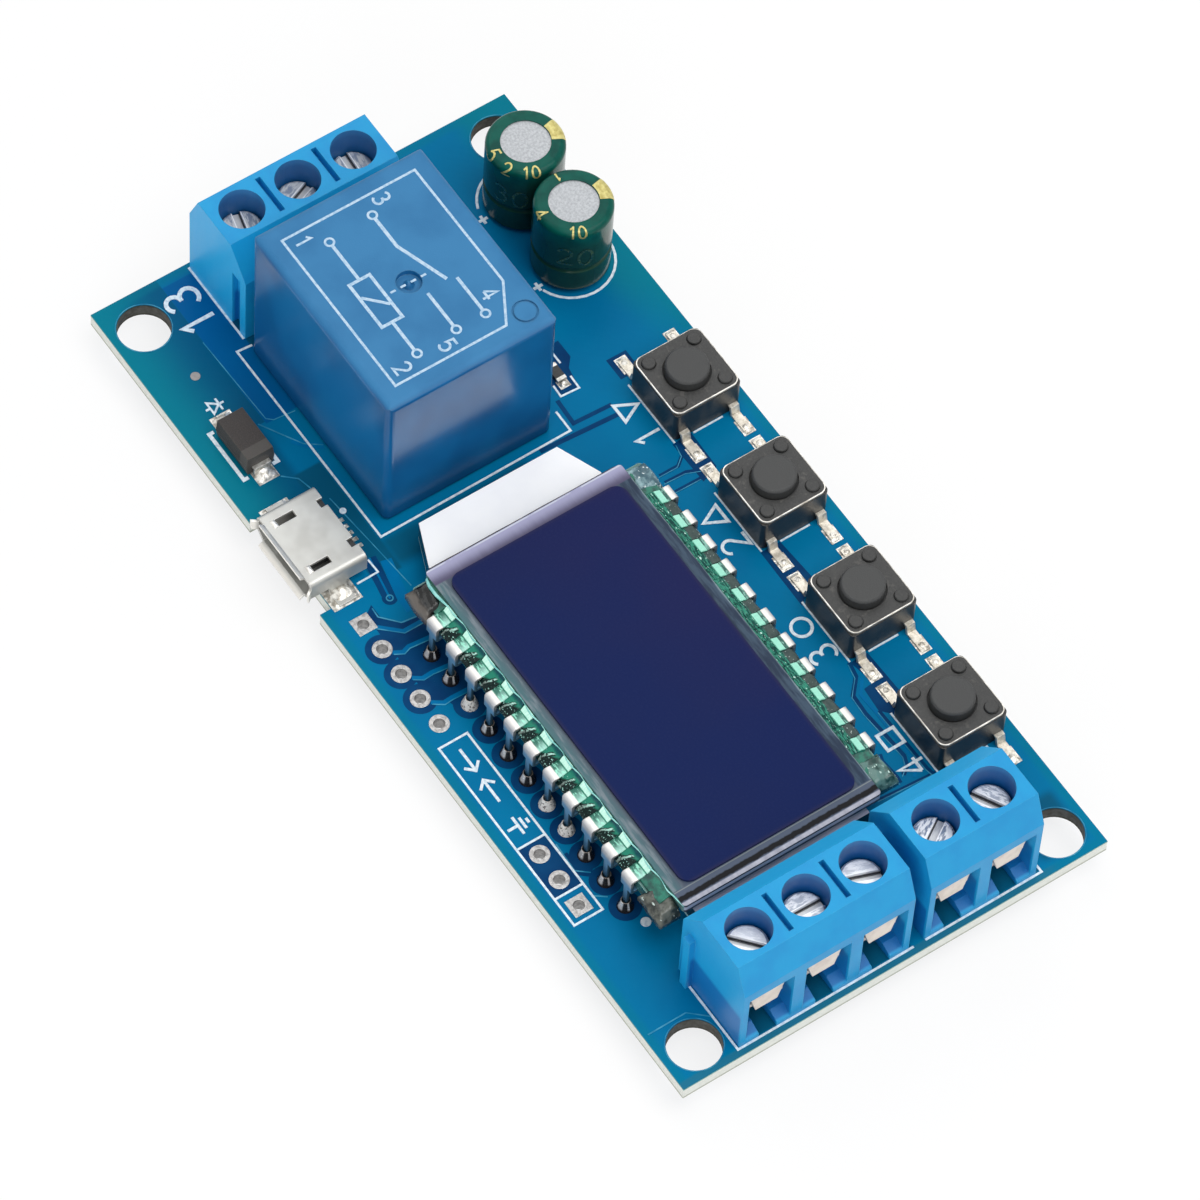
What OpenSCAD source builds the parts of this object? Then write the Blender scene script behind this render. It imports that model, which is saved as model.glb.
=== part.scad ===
// Timer relay module: a circuit board with a relay, screw terminals, a segment display and four buttons.
// Frame: +X from the relay to the wire terminals, +Y to the buttons, +Z up.
// Origin: centre of the four mounting holes, on the underside of the board.

/* [Circuit board] */
// Length of the board along X
board_length = 79.2; // [71:0.1:90]
// Width of the board along Y
board_width = 37.8; // [34:0.1:44]
// Thickness of the board
board_thickness = 1.3; // [1:0.1:2]
// Distance of the rear mounting holes from the board's end
rear_hole_inset = 3.2; // [2.6:0.1:4]
// Distance of the front mounting holes from the board's end
front_hole_inset = 2.6; // [2.4:0.1:4]
// Distance of the mounting holes from the board's long edges
side_hole_inset = 2.75; // [2.5:0.05:4]
// Diameter of a mounting hole
hole_diameter = 4.2; // [3:0.1:4.6]
// Length of the leads below the board
tail_length = 1.8; // [1.6:0.1:2.4]
// Height of a solder cone below the board
solder_height = 0.9; // [0.5:0.1:1.2]

/* [Header rows] */
// Distance between header holes
header_pitch = 2.54; // [2:0.01:2.7]
// Bore of a plated header hole
header_bore = 0.9; // [0.7:0.05:1.1]
// Size of the pad round a header hole
header_pad = 1.55; // [1.4:0.05:1.9]
// Distance of the header rows from the board's edge
header_edge = 2.22; // [1.6:0.01:2.8]
// Distance from the middle of the USB socket to the first hole of the five-hole row
long_header_gap = 7.22; // [6.6:0.01:8]
// Distance of the three-hole row's last hole from the board's front end
short_header_inset = 16.65; // [12:0.05:20]

/* [Relay] */
// Length of the relay's cover along X
relay_length = 18.4; // [16.5:0.1:20]
// Width of the relay's cover along Y
relay_width = 15.05; // [13.5:0.05:16.5]
// Height of the relay's cover
relay_height = 15.1; // [14.8:0.1:17]
// Gap between the cover's rim and the board
relay_standoff = 0.25; // [0.1:0.05:0.4]
// Wall of the relay's cover
relay_wall = 0.8; // [0.6:0.05:1]
// Gap between the relay and the rear terminal block
relay_gap = 1; // [0.6:0.1:1.4]
// Offset of the relay from the middle of the rear block, along Y
relay_offset = -0.12; // [-1:0.01:1]
// Air gap between the armature and the pole
armature_gap = 0.4; // [0.38:0.01:0.45]

/* [Terminal blocks] */
// Distance between poles
pole_pitch = 5; // [4.9:0.01:5.08]
// Height of a block
block_height = 10.1; // [9.8:0.1:11]
// Height where a block's side turns in to the top
shoulder_height = 7.35; // [6.8:0.05:8]
// Distance from the screw to the wire face
block_front = 3.38; // [3.2:0.01:3.6]
// Distance from the screw to the back face
block_back = 4.37; // [4:0.01:4.5]
// Half the width of a block's flat top
block_top = 2.25; // [2:0.05:2.6]
// Width of a wire entry
entry_width = 3.95; // [3.8:0.05:4.2]
// Top of a wire entry above the board
entry_top = 6.3; // [6:0.05:6.6]
// Floor of a wire entry above the board
entry_floor = 0.9; // [0.7:0.05:1]
// Diameter of a screw well
well_diameter = 3.54; // [3.5:0.01:3.8]
// Diameter of a screw head
head_diameter = 3.24; // [2.9:0.01:3.3]
// Height of a screw head
head_height = 1; // [0.8:0.05:1.2]
// Depth of the front screw heads below the top
front_head_depth = 2.2; // [2:0.05:2.3]
// Depth of the rear screw heads below the top
rear_head_depth = 2.45; // [2.2:0.05:2.5]
// Diameter of a screw's shank
shank_diameter = 2.5; // [2.2:0.05:2.6]
// Gap between the rear block and the board's end
rear_inset = 0.4; // [0.2:0.05:0.6]
// Gap between the front blocks and the board's end
front_inset = 0.65; // [0.3:0.05:0.9]
// Centre of the rear block along Y
rear_block_y = -2.74; // [-3.4:0.01:-2]
// Centre of the three-way front block along Y
long_block_y = -6.08; // [-6.4:0.01:-6]
// Centre of the two-way front block along Y
short_block_y = 7.82; // [7.6:0.01:8.2]

/* [Display] */
// Gap between the relay and the display's light guide
display_relay_gap = 2.88; // [2:0.01:4]
// Gap between the light guide and the front terminal blocks
display_block_gap = 1.9; // [1:0.05:3]
// Distance between the header rows and the display's near pins
display_header_gap = 2.81; // [2.6:0.01:3.4]
// Distance between the display's far pins and the buttons
display_button_gap = 4.3; // [3:0.05:5]
// Distance between display pins
pin_pitch = 2.54; // [2.2:0.01:3]
// Distance of the outermost pins from the ends of the rear glass, at least
pin_margin = 3.5; // [2:0.05:4]
// Distance from a pin's leg to the edge of the rear glass
pin_offset = 0.47; // [0.4:0.01:0.7]
// Thickness of the rear glass
rear_glass_thickness = 1.1; // [0.7:0.05:1.2]
// Thickness of the front glass
front_glass_thickness = 0.9; // [0.7:0.05:1.2]
// Width of the rear glass left bare along the near pins
near_ledge = 1.3; // [1.3:0.05:2]
// Width of the rear glass left bare along the far pins
far_ledge = 1.7; // [1.4:0.05:2.6]
// Thickness of a film of the display
film_thickness = 0.2; // [0.15:0.01:0.25]
// Height of the light guide's underside above the board
guide_height = 0.8; // [0.7:0.05:1]
// Thickness of the light guide
guide_thickness = 1.95; // [1.6:0.05:2.2]
// Length of the light guide that sticks out beyond the rear glass
guide_reach = 5.05; // [4:0.05:6]
// Width of the rear glass that stands out beyond each side of the light guide
guide_ledge = 2.55; // [2.2:0.05:3]

/* [Buttons] */
// Gap between the last button's legs and the front terminal block
button_block_gap = 0.9; // [0.4:0.05:1.5]
// Share of the row's free length that lies between the capacitors and the first button
button_start_share = 0.658; // [0.5:0.001:0.75]
// Distance of the buttons from the board's edge
button_edge = 4.03; // [3.4:0.01:4.4]
// Side of a button's square body
button_size = 6; // [5.8:0.05:6.2]
// Height of a button's cover plate
button_height = 3.45; // [3.3:0.05:3.8]
// Thickness of a button's cover plate
cover_thickness = 0.25; // [0.2:0.05:0.3]
// Diameter of a plunger
plunger_diameter = 3.44; // [3.2:0.01:3.6]
// Height of a plunger above the board
plunger_height = 4.3; // [4.2:0.05:5]
// Travel of a plunger
plunger_travel = 0.25; // [0.2:0.01:0.3]

/* [Capacitors] */
// Diameter of a capacitor over its sleeve
capacitor_diameter = 6.2; // [5.8:0.05:6.4]
// Height of a capacitor
capacitor_height = 8; // [7:0.1:11]
// Gap between the two capacitors
capacitor_gap = 0.3; // [0.1:0.01:1]
// Distance of the pair of capacitors from the board's rear end
capacitor_inset = 12.25; // [11.5:0.05:14]
// Distance of the capacitors from the board's edge
capacitor_edge = 4.4; // [4:0.05:4.6]
// Distance between a capacitor's leads
lead_pitch = 2.5; // [2:0.05:2.6]

/* [Diode] */
// Length of the diode's body along X
diode_length = 4.2; // [3.9:0.05:4.6]
// Width of the diode's body along Y
diode_width = 2.5; // [2.2:0.05:2.8]
// Height of the diode's body
diode_height = 2.2; // [1.9:0.05:2.4]
// Distance of the diode from the board's rear end
diode_inset = 16.45; // [15:0.05:18]
// Distance of the diode from the board's edge
diode_edge = 3.25; // [2.6:0.01:3.4]

/* [USB socket] */
// Distance of the socket from the board's rear end
usb_inset = 26.9; // [26:0.05:28]
// Width of the socket's shell
usb_width = 7.4; // [7.2:0.05:7.6]
// Height of the socket's shell above the board
usb_height = 2.6; // [2.5:0.05:2.8]
// Depth of the socket's shell along Y
usb_depth = 4.95; // [4.6:0.05:5.2]
// Distance from the board's edge to the back of the shell
usb_reach = 4.85; // [4.6:0.05:5]
// Thickness of the shell's sheet
usb_wall = 0.25; // [0.2:0.01:0.3]
// Length of the notch in the board's edge
notch_length = 9.5; // [9.2:0.1:10]
// Depth of the notch in the board's edge
notch_depth = 1; // [0.8:0.05:1.2]

/* [Hidden] */
$fn = 48;

// Smallest overlap that makes a cut go clean through a face
cut = 0.1;
// Gap between a sliding piece and its guide
running_gap = 0.15;
// Gap between pieces that sit close without touching
seat_gap = 0.05;

hole_spacing_x = board_length - rear_hole_inset - front_hole_inset;
hole_spacing_y = board_width - 2 * side_hole_inset;
board_low_x = -hole_spacing_x / 2 - rear_hole_inset;
board_high_x = hole_spacing_x / 2 + front_hole_inset;
board_edge_y = board_width / 2;
tail_z = -board_thickness - tail_length;

// Header rows, with the square pad at one end of each
long_header_count = 5;
short_header_count = 3;
header_y = header_edge - board_edge_y;
usb_x = board_low_x + usb_inset;
long_header = row_places(usb_x + long_header_gap, long_header_count, header_pitch, header_y);
short_header_x = board_high_x - short_header_inset - (short_header_count - 1) * header_pitch;
short_header = row_places(short_header_x, short_header_count, header_pitch, header_y);
square_pads = [long_header[0], short_header[short_header_count - 1]];
pad_thickness = 0.06;

// Terminal poles: place, turn of the wire face, depth of the screw head and angle of its slot
rear_block_x = board_low_x + rear_inset + block_front;
front_block_x = board_high_x - front_inset - block_front;
rear_poles = [for (i = [-1:1]) [rear_block_x, rear_block_y + i * pole_pitch, 180, rear_head_depth]];
long_poles = [for (i = [-1:1]) [front_block_x, long_block_y + i * pole_pitch, 0, front_head_depth]];
short_poles = [for (i = [0:1]) [front_block_x, short_block_y + (i - 0.5) * pole_pitch, 0, front_head_depth]];
poles = concat(rear_poles, long_poles, short_poles);
rear_slots = [-14, 112, -4];
long_slots = [41, 88, 70];
short_slots = [-58, 29];
slot_width = 0.65;
slot_depth = 0.6;
head_edge = 0.2;

// Clamp frame and wire plate of a pole
clamp_half = entry_width / 2 - running_gap;
clamp_sheet = 0.45;
clamp_back = -2.3;
clamp_wall = 0.8;
clamp_top = 5.2;
clamp_bridge = 0.8;
plate_low = 3.35;
plate_sheet = 0.4;
plate_inset = 0.5;
plate_front = block_front - plate_inset;
plate_rise = 2.3;
flap_low = 0.95;
flap_high = 1.6;
clamp_pin_x = 0.45;
clamp_pin_y = 0.35;
clamp_pin_hole = 0.6;
clamp_front = 1.5;
bridge_front = 1.7;
floor_gap = 1.6;
lip_depth = 1;
lip_drop = 0.5;
mark_half = 1.75;
mark_width = 0.45;
mark_depth = 1;
rib_inset = 0.92;
rib_width = 0.75;
rib_reach = 0.55;
rib_drop = 0.75;

// Relay, measured from its centre on the board's top
relay_x = rear_block_x + block_back + relay_gap + relay_length / 2;
relay_y = rear_block_y + relay_offset;
relay_inside_x = relay_length / 2 - relay_wall;
relay_inside_y = relay_width / 2 - relay_wall;
relay_top = relay_standoff + relay_height;
relay_round = 0.6;
relay_roof = 0.9;
vent_x = 0.5;
vent_radius = 1;
vent_depth = 0.5;
nib_radius = 0.45;
nib_tip = 0.1;
ring_inset_x = 1.9;
ring_inset_y = 1.75;
ring_depth = 0.12;
ring_width = 0.14;
base_thickness = 1.2;
base_top = relay_standoff + base_thickness;
contact_radius = 0.7;
contact_height = 0.45;
contact_inset = 1.1;
contact_x = contact_inset - relay_inside_x;
contact_travel = 0.6;
yoke_sheet = 1;
yoke_inset = 0.8;
yoke_outer = relay_inside_x - yoke_inset;
yoke_side_gap = 2.725;
yoke_half = relay_inside_y - yoke_side_gap;
bobbin_low = base_top + yoke_sheet;
bobbin_height = 7.8;
bobbin_high = bobbin_low + bobbin_height;
bobbin_flange = 0.8;
bobbin_post_gap = 0.6;
bobbin_contact_gap = 2.2;
bobbin_low_x = contact_x + contact_radius + bobbin_contact_gap;
bobbin_high_x = yoke_outer - yoke_sheet - bobbin_post_gap;
bobbin_x = (bobbin_low_x + bobbin_high_x) / 2;
bobbin_half_x = (bobbin_high_x - bobbin_low_x) / 2;
bobbin_side_gap = 1.325;
bobbin_half_y = relay_inside_y - bobbin_side_gap;
winding_margin = 0.3;
winding_radius = min(bobbin_half_x, bobbin_half_y) - winding_margin;
drum_wall = 0.8;
core_radius = 1.7;
drum_radius = core_radius + drum_wall;
pole_step = 1.1;
pole_radius = core_radius + pole_step;
pole_disc = 0.7;
armature_low = bobbin_high + pole_disc + armature_gap;
armature_sheet = 1;
armature_margin = 1.2;
armature_heel = 0.4;
armature_side = 0.5;
spring_low = armature_low + armature_sheet;
spring_sheet = 0.2;
spring_half = 1.5;
spring_end = 0.8;
spring_tail = 1.6;
strip_inset = 0.2;
strip_low_x = strip_inset - relay_inside_x;
strip_sheet = 0.3;
strip_width = 2.5;
strip_side_gap = 1.225;
strip_outer_y = relay_inside_y - strip_side_gap;
strip_inner_y = strip_outer_y - strip_width;
relay_pin_half = 0.45;
relay_pin_thin = 0.2;
relay_pin_hole = 0.52;
strip_pin_x = strip_low_x + strip_sheet / 2;
coil_pin_inset_x = 1.6;
coil_pin_inset_y = 0.5;
common_pin = [yoke_outer - yoke_sheet / 2, 0];
coil_pins = [
    for (side = [-1, 1])
        [bobbin_high_x - coil_pin_inset_x, side * (bobbin_half_y - coil_pin_inset_y)]
];
strip_pins = [for (side = [-1, 1]) [strip_pin_x, side * (strip_inner_y + strip_outer_y) / 2]];
relay_pins = concat(strip_pins, coil_pins, [common_pin]);

// Capacitors
capacitor_y = board_edge_y - capacitor_edge;
capacitor_pitch = capacitor_diameter + capacitor_gap;
capacitor_x = board_low_x + capacitor_inset - capacitor_pitch / 2;
capacitor_places = row_places(capacitor_x, 2, capacitor_pitch, capacitor_y);
sleeve_wall = 0.12;
sleeve_low = 0.6;
sleeve_round = 0.5;
sleeve_opening = 1.15;
groove_height = 3.1;
groove_radius = 0.4;
groove_offset = 0.25;
bung_low = 0.1;
bung_top = 1;
bung_inset = 0.4;
lead_radius = 0.25;
lead_gap = 0.03;
capacitor_leads_at = [for (p = capacitor_places, side = [-1, 1]) [p[0] + side * lead_pitch / 2, p[1]]];

// Buttons, spread along the free length between the capacitors and the front block
button_count = 4;
button_half = button_size / 2;
leg_reach = 2.15;
button_run = 2 * (button_half + leg_reach);
button_row_low = capacitor_places[1][0] + capacitor_diameter / 2;
button_row_high = front_block_x - block_back - button_block_gap;
button_free = button_row_high - button_row_low - button_count * button_run;
button_pitch = button_run + button_free * (1 - button_start_share) / (button_count - 1);
button_first_x = button_row_low + button_free * button_start_share + button_run / 2;
button_y = board_edge_y - button_edge;
button_places = row_places(button_first_x, button_count, button_pitch, button_y);
button_low = 0.1;
button_round = 0.4;
cover_inset = 0.05;
cover_round = 0.7;
cover_low = button_height - cover_thickness;
stake_inset = 0.93;
stake_offset = button_half - stake_inset;
stake_radius = 0.5;
stake_rise = 0.15;
stake_flare = 0.08;
button_floor = 1.2;
flange_step = 0.43;
flange_radius = plunger_diameter / 2 + flange_step;
flange_height = 0.5;
flange_top = cover_low - seat_gap;
button_well_gap = 0.25;
button_well_radius = flange_radius + button_well_gap;
plunger_foot_radius = 1;
plunger_edge = 0.15;
dome_rise = 0.55;
dome_sheet = 0.1;
dome_gap = 0.2;
dome_radius = button_well_radius - dome_gap;
dome_flat = 0.25;
dome_bend = 0.6;
dome_bend_rise = 0.75;
plunger_foot = button_floor + dome_rise + dome_sheet / 2 + plunger_travel + seat_gap;
leg_inset = 0.75;
leg_offset = button_half - leg_inset;
leg_width = 0.75;
leg_sheet = 0.2;
leg_top = 1;
leg_knee = 0.35;

// Display, measured from the board's top and fitted between its neighbours
guide_low_x = relay_x + relay_length / 2 + display_relay_gap;
guide_high_x = front_block_x - block_back - display_block_gap;
glass_step = 0.92;
rear_glass_low_x = guide_low_x + guide_reach;
rear_glass_length = guide_high_x - glass_step - rear_glass_low_x;
rear_glass_x = rear_glass_low_x + rear_glass_length / 2;
front_glass_start = 0.22;
front_glass_end = 0.1;
front_glass_low_x = rear_glass_low_x - front_glass_start;
front_glass_length = guide_high_x + front_glass_end - front_glass_low_x;
front_glass_x = front_glass_low_x + front_glass_length / 2;
pin_count = floor((rear_glass_length - 2 * pin_margin) / pin_pitch) + 1;
pin_near_y = header_y + display_header_gap;
pin_far_y = button_y - button_half - display_button_gap;
display_y = (pin_near_y + pin_far_y) / 2;
pin_leg_y = (pin_far_y - pin_near_y) / 2;
display_pins_at = [
    for (side = [-1, 1], i = [0:pin_count - 1])
        [rear_glass_x + (i - (pin_count - 1) / 2) * pin_pitch, display_y + side * pin_leg_y, side]
];
rear_glass_width = 2 * (pin_leg_y - pin_offset);
front_glass_width = rear_glass_width - near_ledge - far_ledge;
front_glass_y = display_y + (near_ledge - far_ledge) / 2;
guide_width = rear_glass_width - 2 * guide_ledge;
guide_y = display_y;
guide_top = guide_height + guide_thickness;
guide_cut_x = 3.6;
guide_cut_y = 1.5;
rear_glass_low = guide_top + film_thickness;
rear_glass_high = rear_glass_low + rear_glass_thickness;
front_glass_high = rear_glass_high + front_glass_thickness;
glass_corner = 0.3;
window_inset_x = 1.4;
window_inset_y = 1;
window_round = 1;
rear_film_margin = 0.2;
reflector_tuck = 1.4;
clip_width = 1.25;
clip_sheet = 0.25;
clip_round = 0.24;
clip_finger = 1.15;
clip_under = 0.4;
resin_inset = 0.2;
resin_end = 0.5;
resin_height = 0.65;
resin_rim = 0.2;
pin_leg_half = 0.25;
pin_hole = 0.32;

// Diode
diode_x = board_low_x + diode_inset;
diode_y = diode_edge - board_edge_y;
diode_low = 0.2;
diode_split = 1;
diode_draft = 0.14;
diode_tab_width = 1.5;
diode_tab_sheet = 0.18;
diode_tab_reach = 0.35;
diode_tab_under = 0.9;

// USB socket
usb_back = usb_reach - board_edge_y;
usb_front = usb_back - usb_depth;
usb_low = 0.1;
usb_round = 0.45;
usb_chamfer = 0.8;
lip_reach = 0.42;
lip_rise = 0.3;
latch_spread = 2.37;
latch_width = 0.64;
latch_start = 0.9;
latch_length = 1.6;
back_notch_spread = 2.05;
back_notch_width = 0.76;
back_notch_length = 0.55;
usb_tab_start = 3.3;
usb_tab_length = 1.5;
usb_tab_reach = 1.35;
tongue_low = 1.25;
tongue_high = 1.75;
tongue_half = 1.75;
tongue_start = 0.6;
insert_depth = 1.25;
insert_half = 2.5;
contact_start = 0.8;
contact_pitch = 0.65;
contact_half = 0.12;
contact_sheet = 0.1;
contact_tail = 0.95;

// Chips: place and turn; the resistor beside the relay is on top, the rest are under the board
chip_gap = 0.1;
controller_at = [rear_glass_x - 2.8, display_y];
controller_size = [6.5, 4.4, 1];
controller_pins = 10;
controller_pitch = 0.65;
controller_leg = 0.25;
regulator_offset = [7, -3];
regulator_at = [usb_x, display_y] + regulator_offset;
regulator_pitch = 1.5;
regulator_leg = 0.5;
regulator_size = [4.5, 2.5, 1.5];
driver_offset = [5, -5];
driver_at = [usb_x, button_y] + driver_offset;
driver_pitch = 1.9;
driver_leg = 0.4;
driver_size = [2.9, 1.3, 1];
chip_size = [1.6, 0.8, 0.45];
chip_cap = 0.3;
chip_leg_sheet = 0.12;
chip_leg_knee = 0.3;
chip_leg_reach = 0.9;
top_chip_offset = [5.25, -7.12];
top_chip_at = [relay_x, button_y] + top_chip_offset;
controller_chips = [[-8, -4, 0], [-5, -5, 0], [-8, 4, 0], [-5.5, 5, 90], [8, 0, 90], [11, 0, 90]];
driver_chips = [[5, 0.5, 0], [-4, -1, 90]];
under_chips = concat(
    [for (c = controller_chips) [controller_at[0] + c[0], controller_at[1] + c[1], c[2]]],
    [for (c = driver_chips) [driver_at[0] + c[0], driver_at[1] + c[1], c[2]]]
);

// Every lead that goes through the board: place and radius of its hole
through_leads = concat(
    [for (p = display_pins_at) [p[0], p[1], pin_hole]],
    [for (p = poles) [p[0], p[1], clamp_pin_hole]],
    [for (p = relay_pins) [relay_x + p[0], relay_y + p[1], relay_pin_hole]],
    [for (p = capacitor_leads_at) [p[0], p[1], lead_radius + lead_gap]]
);
drill_gap = 0.1;
solder_spread = 0.4;
solder_tip = 0.06;
top_solder_spread = 0.25;
top_cone_share = 1.1;

function row_places(first, count, pitch, y) =
    [for (i = [0:count - 1]) [first + i * pitch, y]];

// Box from its low corner to its high corner
module block(low, high) {
    translate(low)
        cube(high - low);
}

// Outline in X and Z, drawn out along Y
module along_y(low, high) {
    translate([0, high, 0])
        rotate([90, 0, 0])
            linear_extrude(high - low)
                children();
}

// Outline in Y and Z, drawn out along X
module along_x(low, high) {
    translate([low, 0, 0])
        rotate([90, 0, 90])
            linear_extrude(high - low)
                children();
}

module on_board() {
    translate([0, 0, board_thickness])
        children();
}

module rounded_rectangle(length, width, radius) {
    square([length - 2 * radius, width], center = true);
    square([length, width - 2 * radius], center = true);
    for (sx = [-1, 1], sy = [-1, 1])
        translate([sx * (length / 2 - radius), sy * (width / 2 - radius)])
            circle(radius);
}

// Rectangle from z = 0 whose two top corners are round
module arch_outline(width, height, radius) {
    translate([-width / 2, 0])
        square([width, height - radius]);
    translate([radius - width / 2, 0])
        square([width - 2 * radius, height]);
    for (side = [-1, 1])
        translate([side * (width / 2 - radius), height - radius])
            circle(radius);
}

module circuit_board() {
    color("teal")
        difference() {
            translate([board_low_x, -board_edge_y, 0])
                cube([board_length, board_width, board_thickness]);
            translate([usb_x - notch_length / 2, -board_edge_y - cut, -cut])
                cube([notch_length, notch_depth + cut, board_thickness + 2 * cut]);
            for (sx = [-1, 1], sy = [-1, 1])
                translate([sx * hole_spacing_x / 2, sy * hole_spacing_y / 2, -cut])
                    cylinder(d = hole_diameter, h = board_thickness + 2 * cut);
            for (p = concat(long_header, short_header))
                translate([p[0], p[1], -cut])
                    cylinder(d = header_bore + 2 * pad_thickness, h = board_thickness + 2 * cut);
            for (p = through_leads)
                translate([p[0], p[1], -cut])
                    cylinder(r = p[2] + drill_gap, h = board_thickness + 2 * cut);
        }
}

// Plated barrel with a pad on each face
module eyelet(place, is_square) {
    translate([place[0], place[1], 0])
        difference() {
            union() {
                cylinder(d = header_bore + 2 * pad_thickness, h = board_thickness);
                for (z = [-pad_thickness, board_thickness])
                    translate([0, 0, z])
                        linear_extrude(pad_thickness)
                            if (is_square) square(header_pad, center = true);
                            else circle(d = header_pad);
            }
            translate([0, 0, -cut])
                cylinder(d = header_bore, h = board_thickness + 2 * cut);
        }
}

module header_eyelets() {
    color("silver")
        for (p = concat(long_header, short_header))
            eyelet(p, p == square_pads[0] || p == square_pads[1]);
}

// Solder cone round a lead, widest at the board
module solder_cone(radius, spread, height) {
    difference() {
        cylinder(r1 = radius + drill_gap + spread, r2 = radius + solder_tip, h = height);
        translate([0, 0, -cut])
            cylinder(r = radius, h = height + 2 * cut);
    }
}

module solder_joints() {
    color("gainsboro") {
        for (p = through_leads)
            translate([p[0], p[1], 0])
                mirror([0, 0, 1])
                    solder_cone(p[2], solder_spread, solder_height);
        on_board()
            for (p = display_pins_at)
                translate([p[0], p[1], 0])
                    solder_cone(pin_hole, top_solder_spread, solder_height * top_cone_share);
    }
}

module at_relay() {
    translate([relay_x, relay_y, board_thickness])
        children();
}

// Moulded cover, open below, with a vent dimple and a witness ring on top
module relay_cover() {
    ring_at = [relay_length / 2 - ring_inset_x, relay_width / 2 - ring_inset_y];
    color("royalblue")
        at_relay()
            difference() {
                intersection() {
                    translate([0, 0, relay_standoff])
                        linear_extrude(relay_height)
                            rounded_rectangle(relay_length, relay_width, relay_round);
                    along_y(-relay_width, relay_width)
                        arch_outline(relay_length, relay_top, relay_round);
                    along_x(-relay_length, relay_length)
                        arch_outline(relay_width, relay_top, relay_round);
                }
                block([-relay_inside_x, -relay_inside_y, relay_standoff - cut],
                      [relay_inside_x, relay_inside_y, relay_top - relay_roof]);
                translate([vent_x, 0, relay_top - vent_depth])
                    difference() {
                        cylinder(r = vent_radius, h = vent_depth + cut);
                        cylinder(r1 = nib_radius, r2 = nib_tip, h = vent_depth);
                    }
                translate([ring_at[0], ring_at[1], relay_top - ring_depth])
                    difference() {
                        cylinder(r = vent_radius, h = ring_depth + cut);
                        translate([0, 0, -cut])
                            cylinder(r = vent_radius - ring_width, h = ring_depth + 3 * cut);
                    }
            }
}

// Base plate that closes the cover from below, pierced for the pins
module relay_base() {
    color("midnightblue")
        at_relay()
            difference() {
                block([seat_gap - relay_inside_x, seat_gap - relay_inside_y, relay_standoff],
                      [relay_inside_x - seat_gap, relay_inside_y - seat_gap, base_top]);
                for (p = relay_pins)
                    translate([p[0], p[1], relay_standoff - cut])
                        cylinder(r = relay_pin_hole, h = relay_height);
            }
}

module relay_bobbin() {
    color("ivory")
        at_relay()
            translate([bobbin_x, 0, bobbin_low])
                difference() {
                    union() {
                        cylinder(r = drum_radius, h = bobbin_height);
                        for (z = [0, bobbin_height - bobbin_flange])
                            block([-bobbin_half_x, -bobbin_half_y, z],
                                  [bobbin_half_x, bobbin_half_y, z + bobbin_flange]);
                    }
                    translate([0, 0, -cut])
                        cylinder(r = core_radius + seat_gap, h = bobbin_height + 2 * cut);
                }
}

module relay_winding() {
    color("chocolate")
        at_relay()
            translate([bobbin_x, 0, bobbin_low + bobbin_flange + seat_gap])
                difference() {
                    cylinder(r = winding_radius, h = bobbin_height - 2 * bobbin_flange - 2 * seat_gap);
                    translate([0, 0, -cut])
                        cylinder(r = drum_radius + seat_gap, h = bobbin_height);
                }
}

// Iron core with its pole disc, standing on the yoke's foot
module relay_core() {
    color("gray")
        at_relay()
            translate([bobbin_x, 0, bobbin_low]) {
                cylinder(r = core_radius, h = bobbin_height);
                translate([0, 0, bobbin_height])
                    cylinder(r = pole_radius, h = pole_disc);
            }
}

// Angled iron yoke: a foot under the coil and a post at its side
module relay_yoke() {
    foot_x = bobbin_x - drum_radius;
    post_x = yoke_outer - yoke_sheet;
    yoke_high = armature_low - seat_gap;
    color("dimgray")
        at_relay()
            along_y(-yoke_half, yoke_half)
                polygon([
                    [foot_x, base_top], [yoke_outer, base_top], [yoke_outer, yoke_high],
                    [post_x, yoke_high], [post_x, bobbin_low], [foot_x, bobbin_low]
                ]);
}

module relay_armature() {
    armature_half = yoke_half + armature_side;
    armature_tip = bobbin_x - pole_radius - armature_margin;
    color("gray")
        at_relay()
            block([armature_tip, -armature_half, armature_low],
                  [yoke_outer + armature_heel, armature_half, spring_low]);
}

// Leaf spring on the armature with the moving contact at its free end
module relay_contact_spring() {
    color("goldenrod")
        at_relay() {
            block([contact_x - spring_end, -spring_half, spring_low],
                  [yoke_outer - spring_tail, spring_half, spring_low + spring_sheet]);
            translate([contact_x, 0, spring_low - contact_height])
                cylinder(r = contact_radius, h = 2 * contact_height + spring_sheet);
        }
}

// Upright strip with an arm that carries a fixed contact, ending below in its board pin
module contact_strip(side, arm_low, button_low_z) {
    outer = side * strip_outer_y;
    inner = side * strip_inner_y;
    arm_end = -side * contact_radius;
    arm_wide = contact_x + contact_radius;
    block([strip_low_x, min(outer, inner), base_top],
          [strip_low_x + strip_sheet, max(outer, inner), arm_low + strip_sheet]);
    block([strip_low_x, min(outer, arm_end), arm_low],
          [arm_wide, max(outer, arm_end), arm_low + strip_sheet]);
    translate([contact_x, 0, button_low_z])
        cylinder(r = contact_radius, h = strip_sheet);
}

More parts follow.
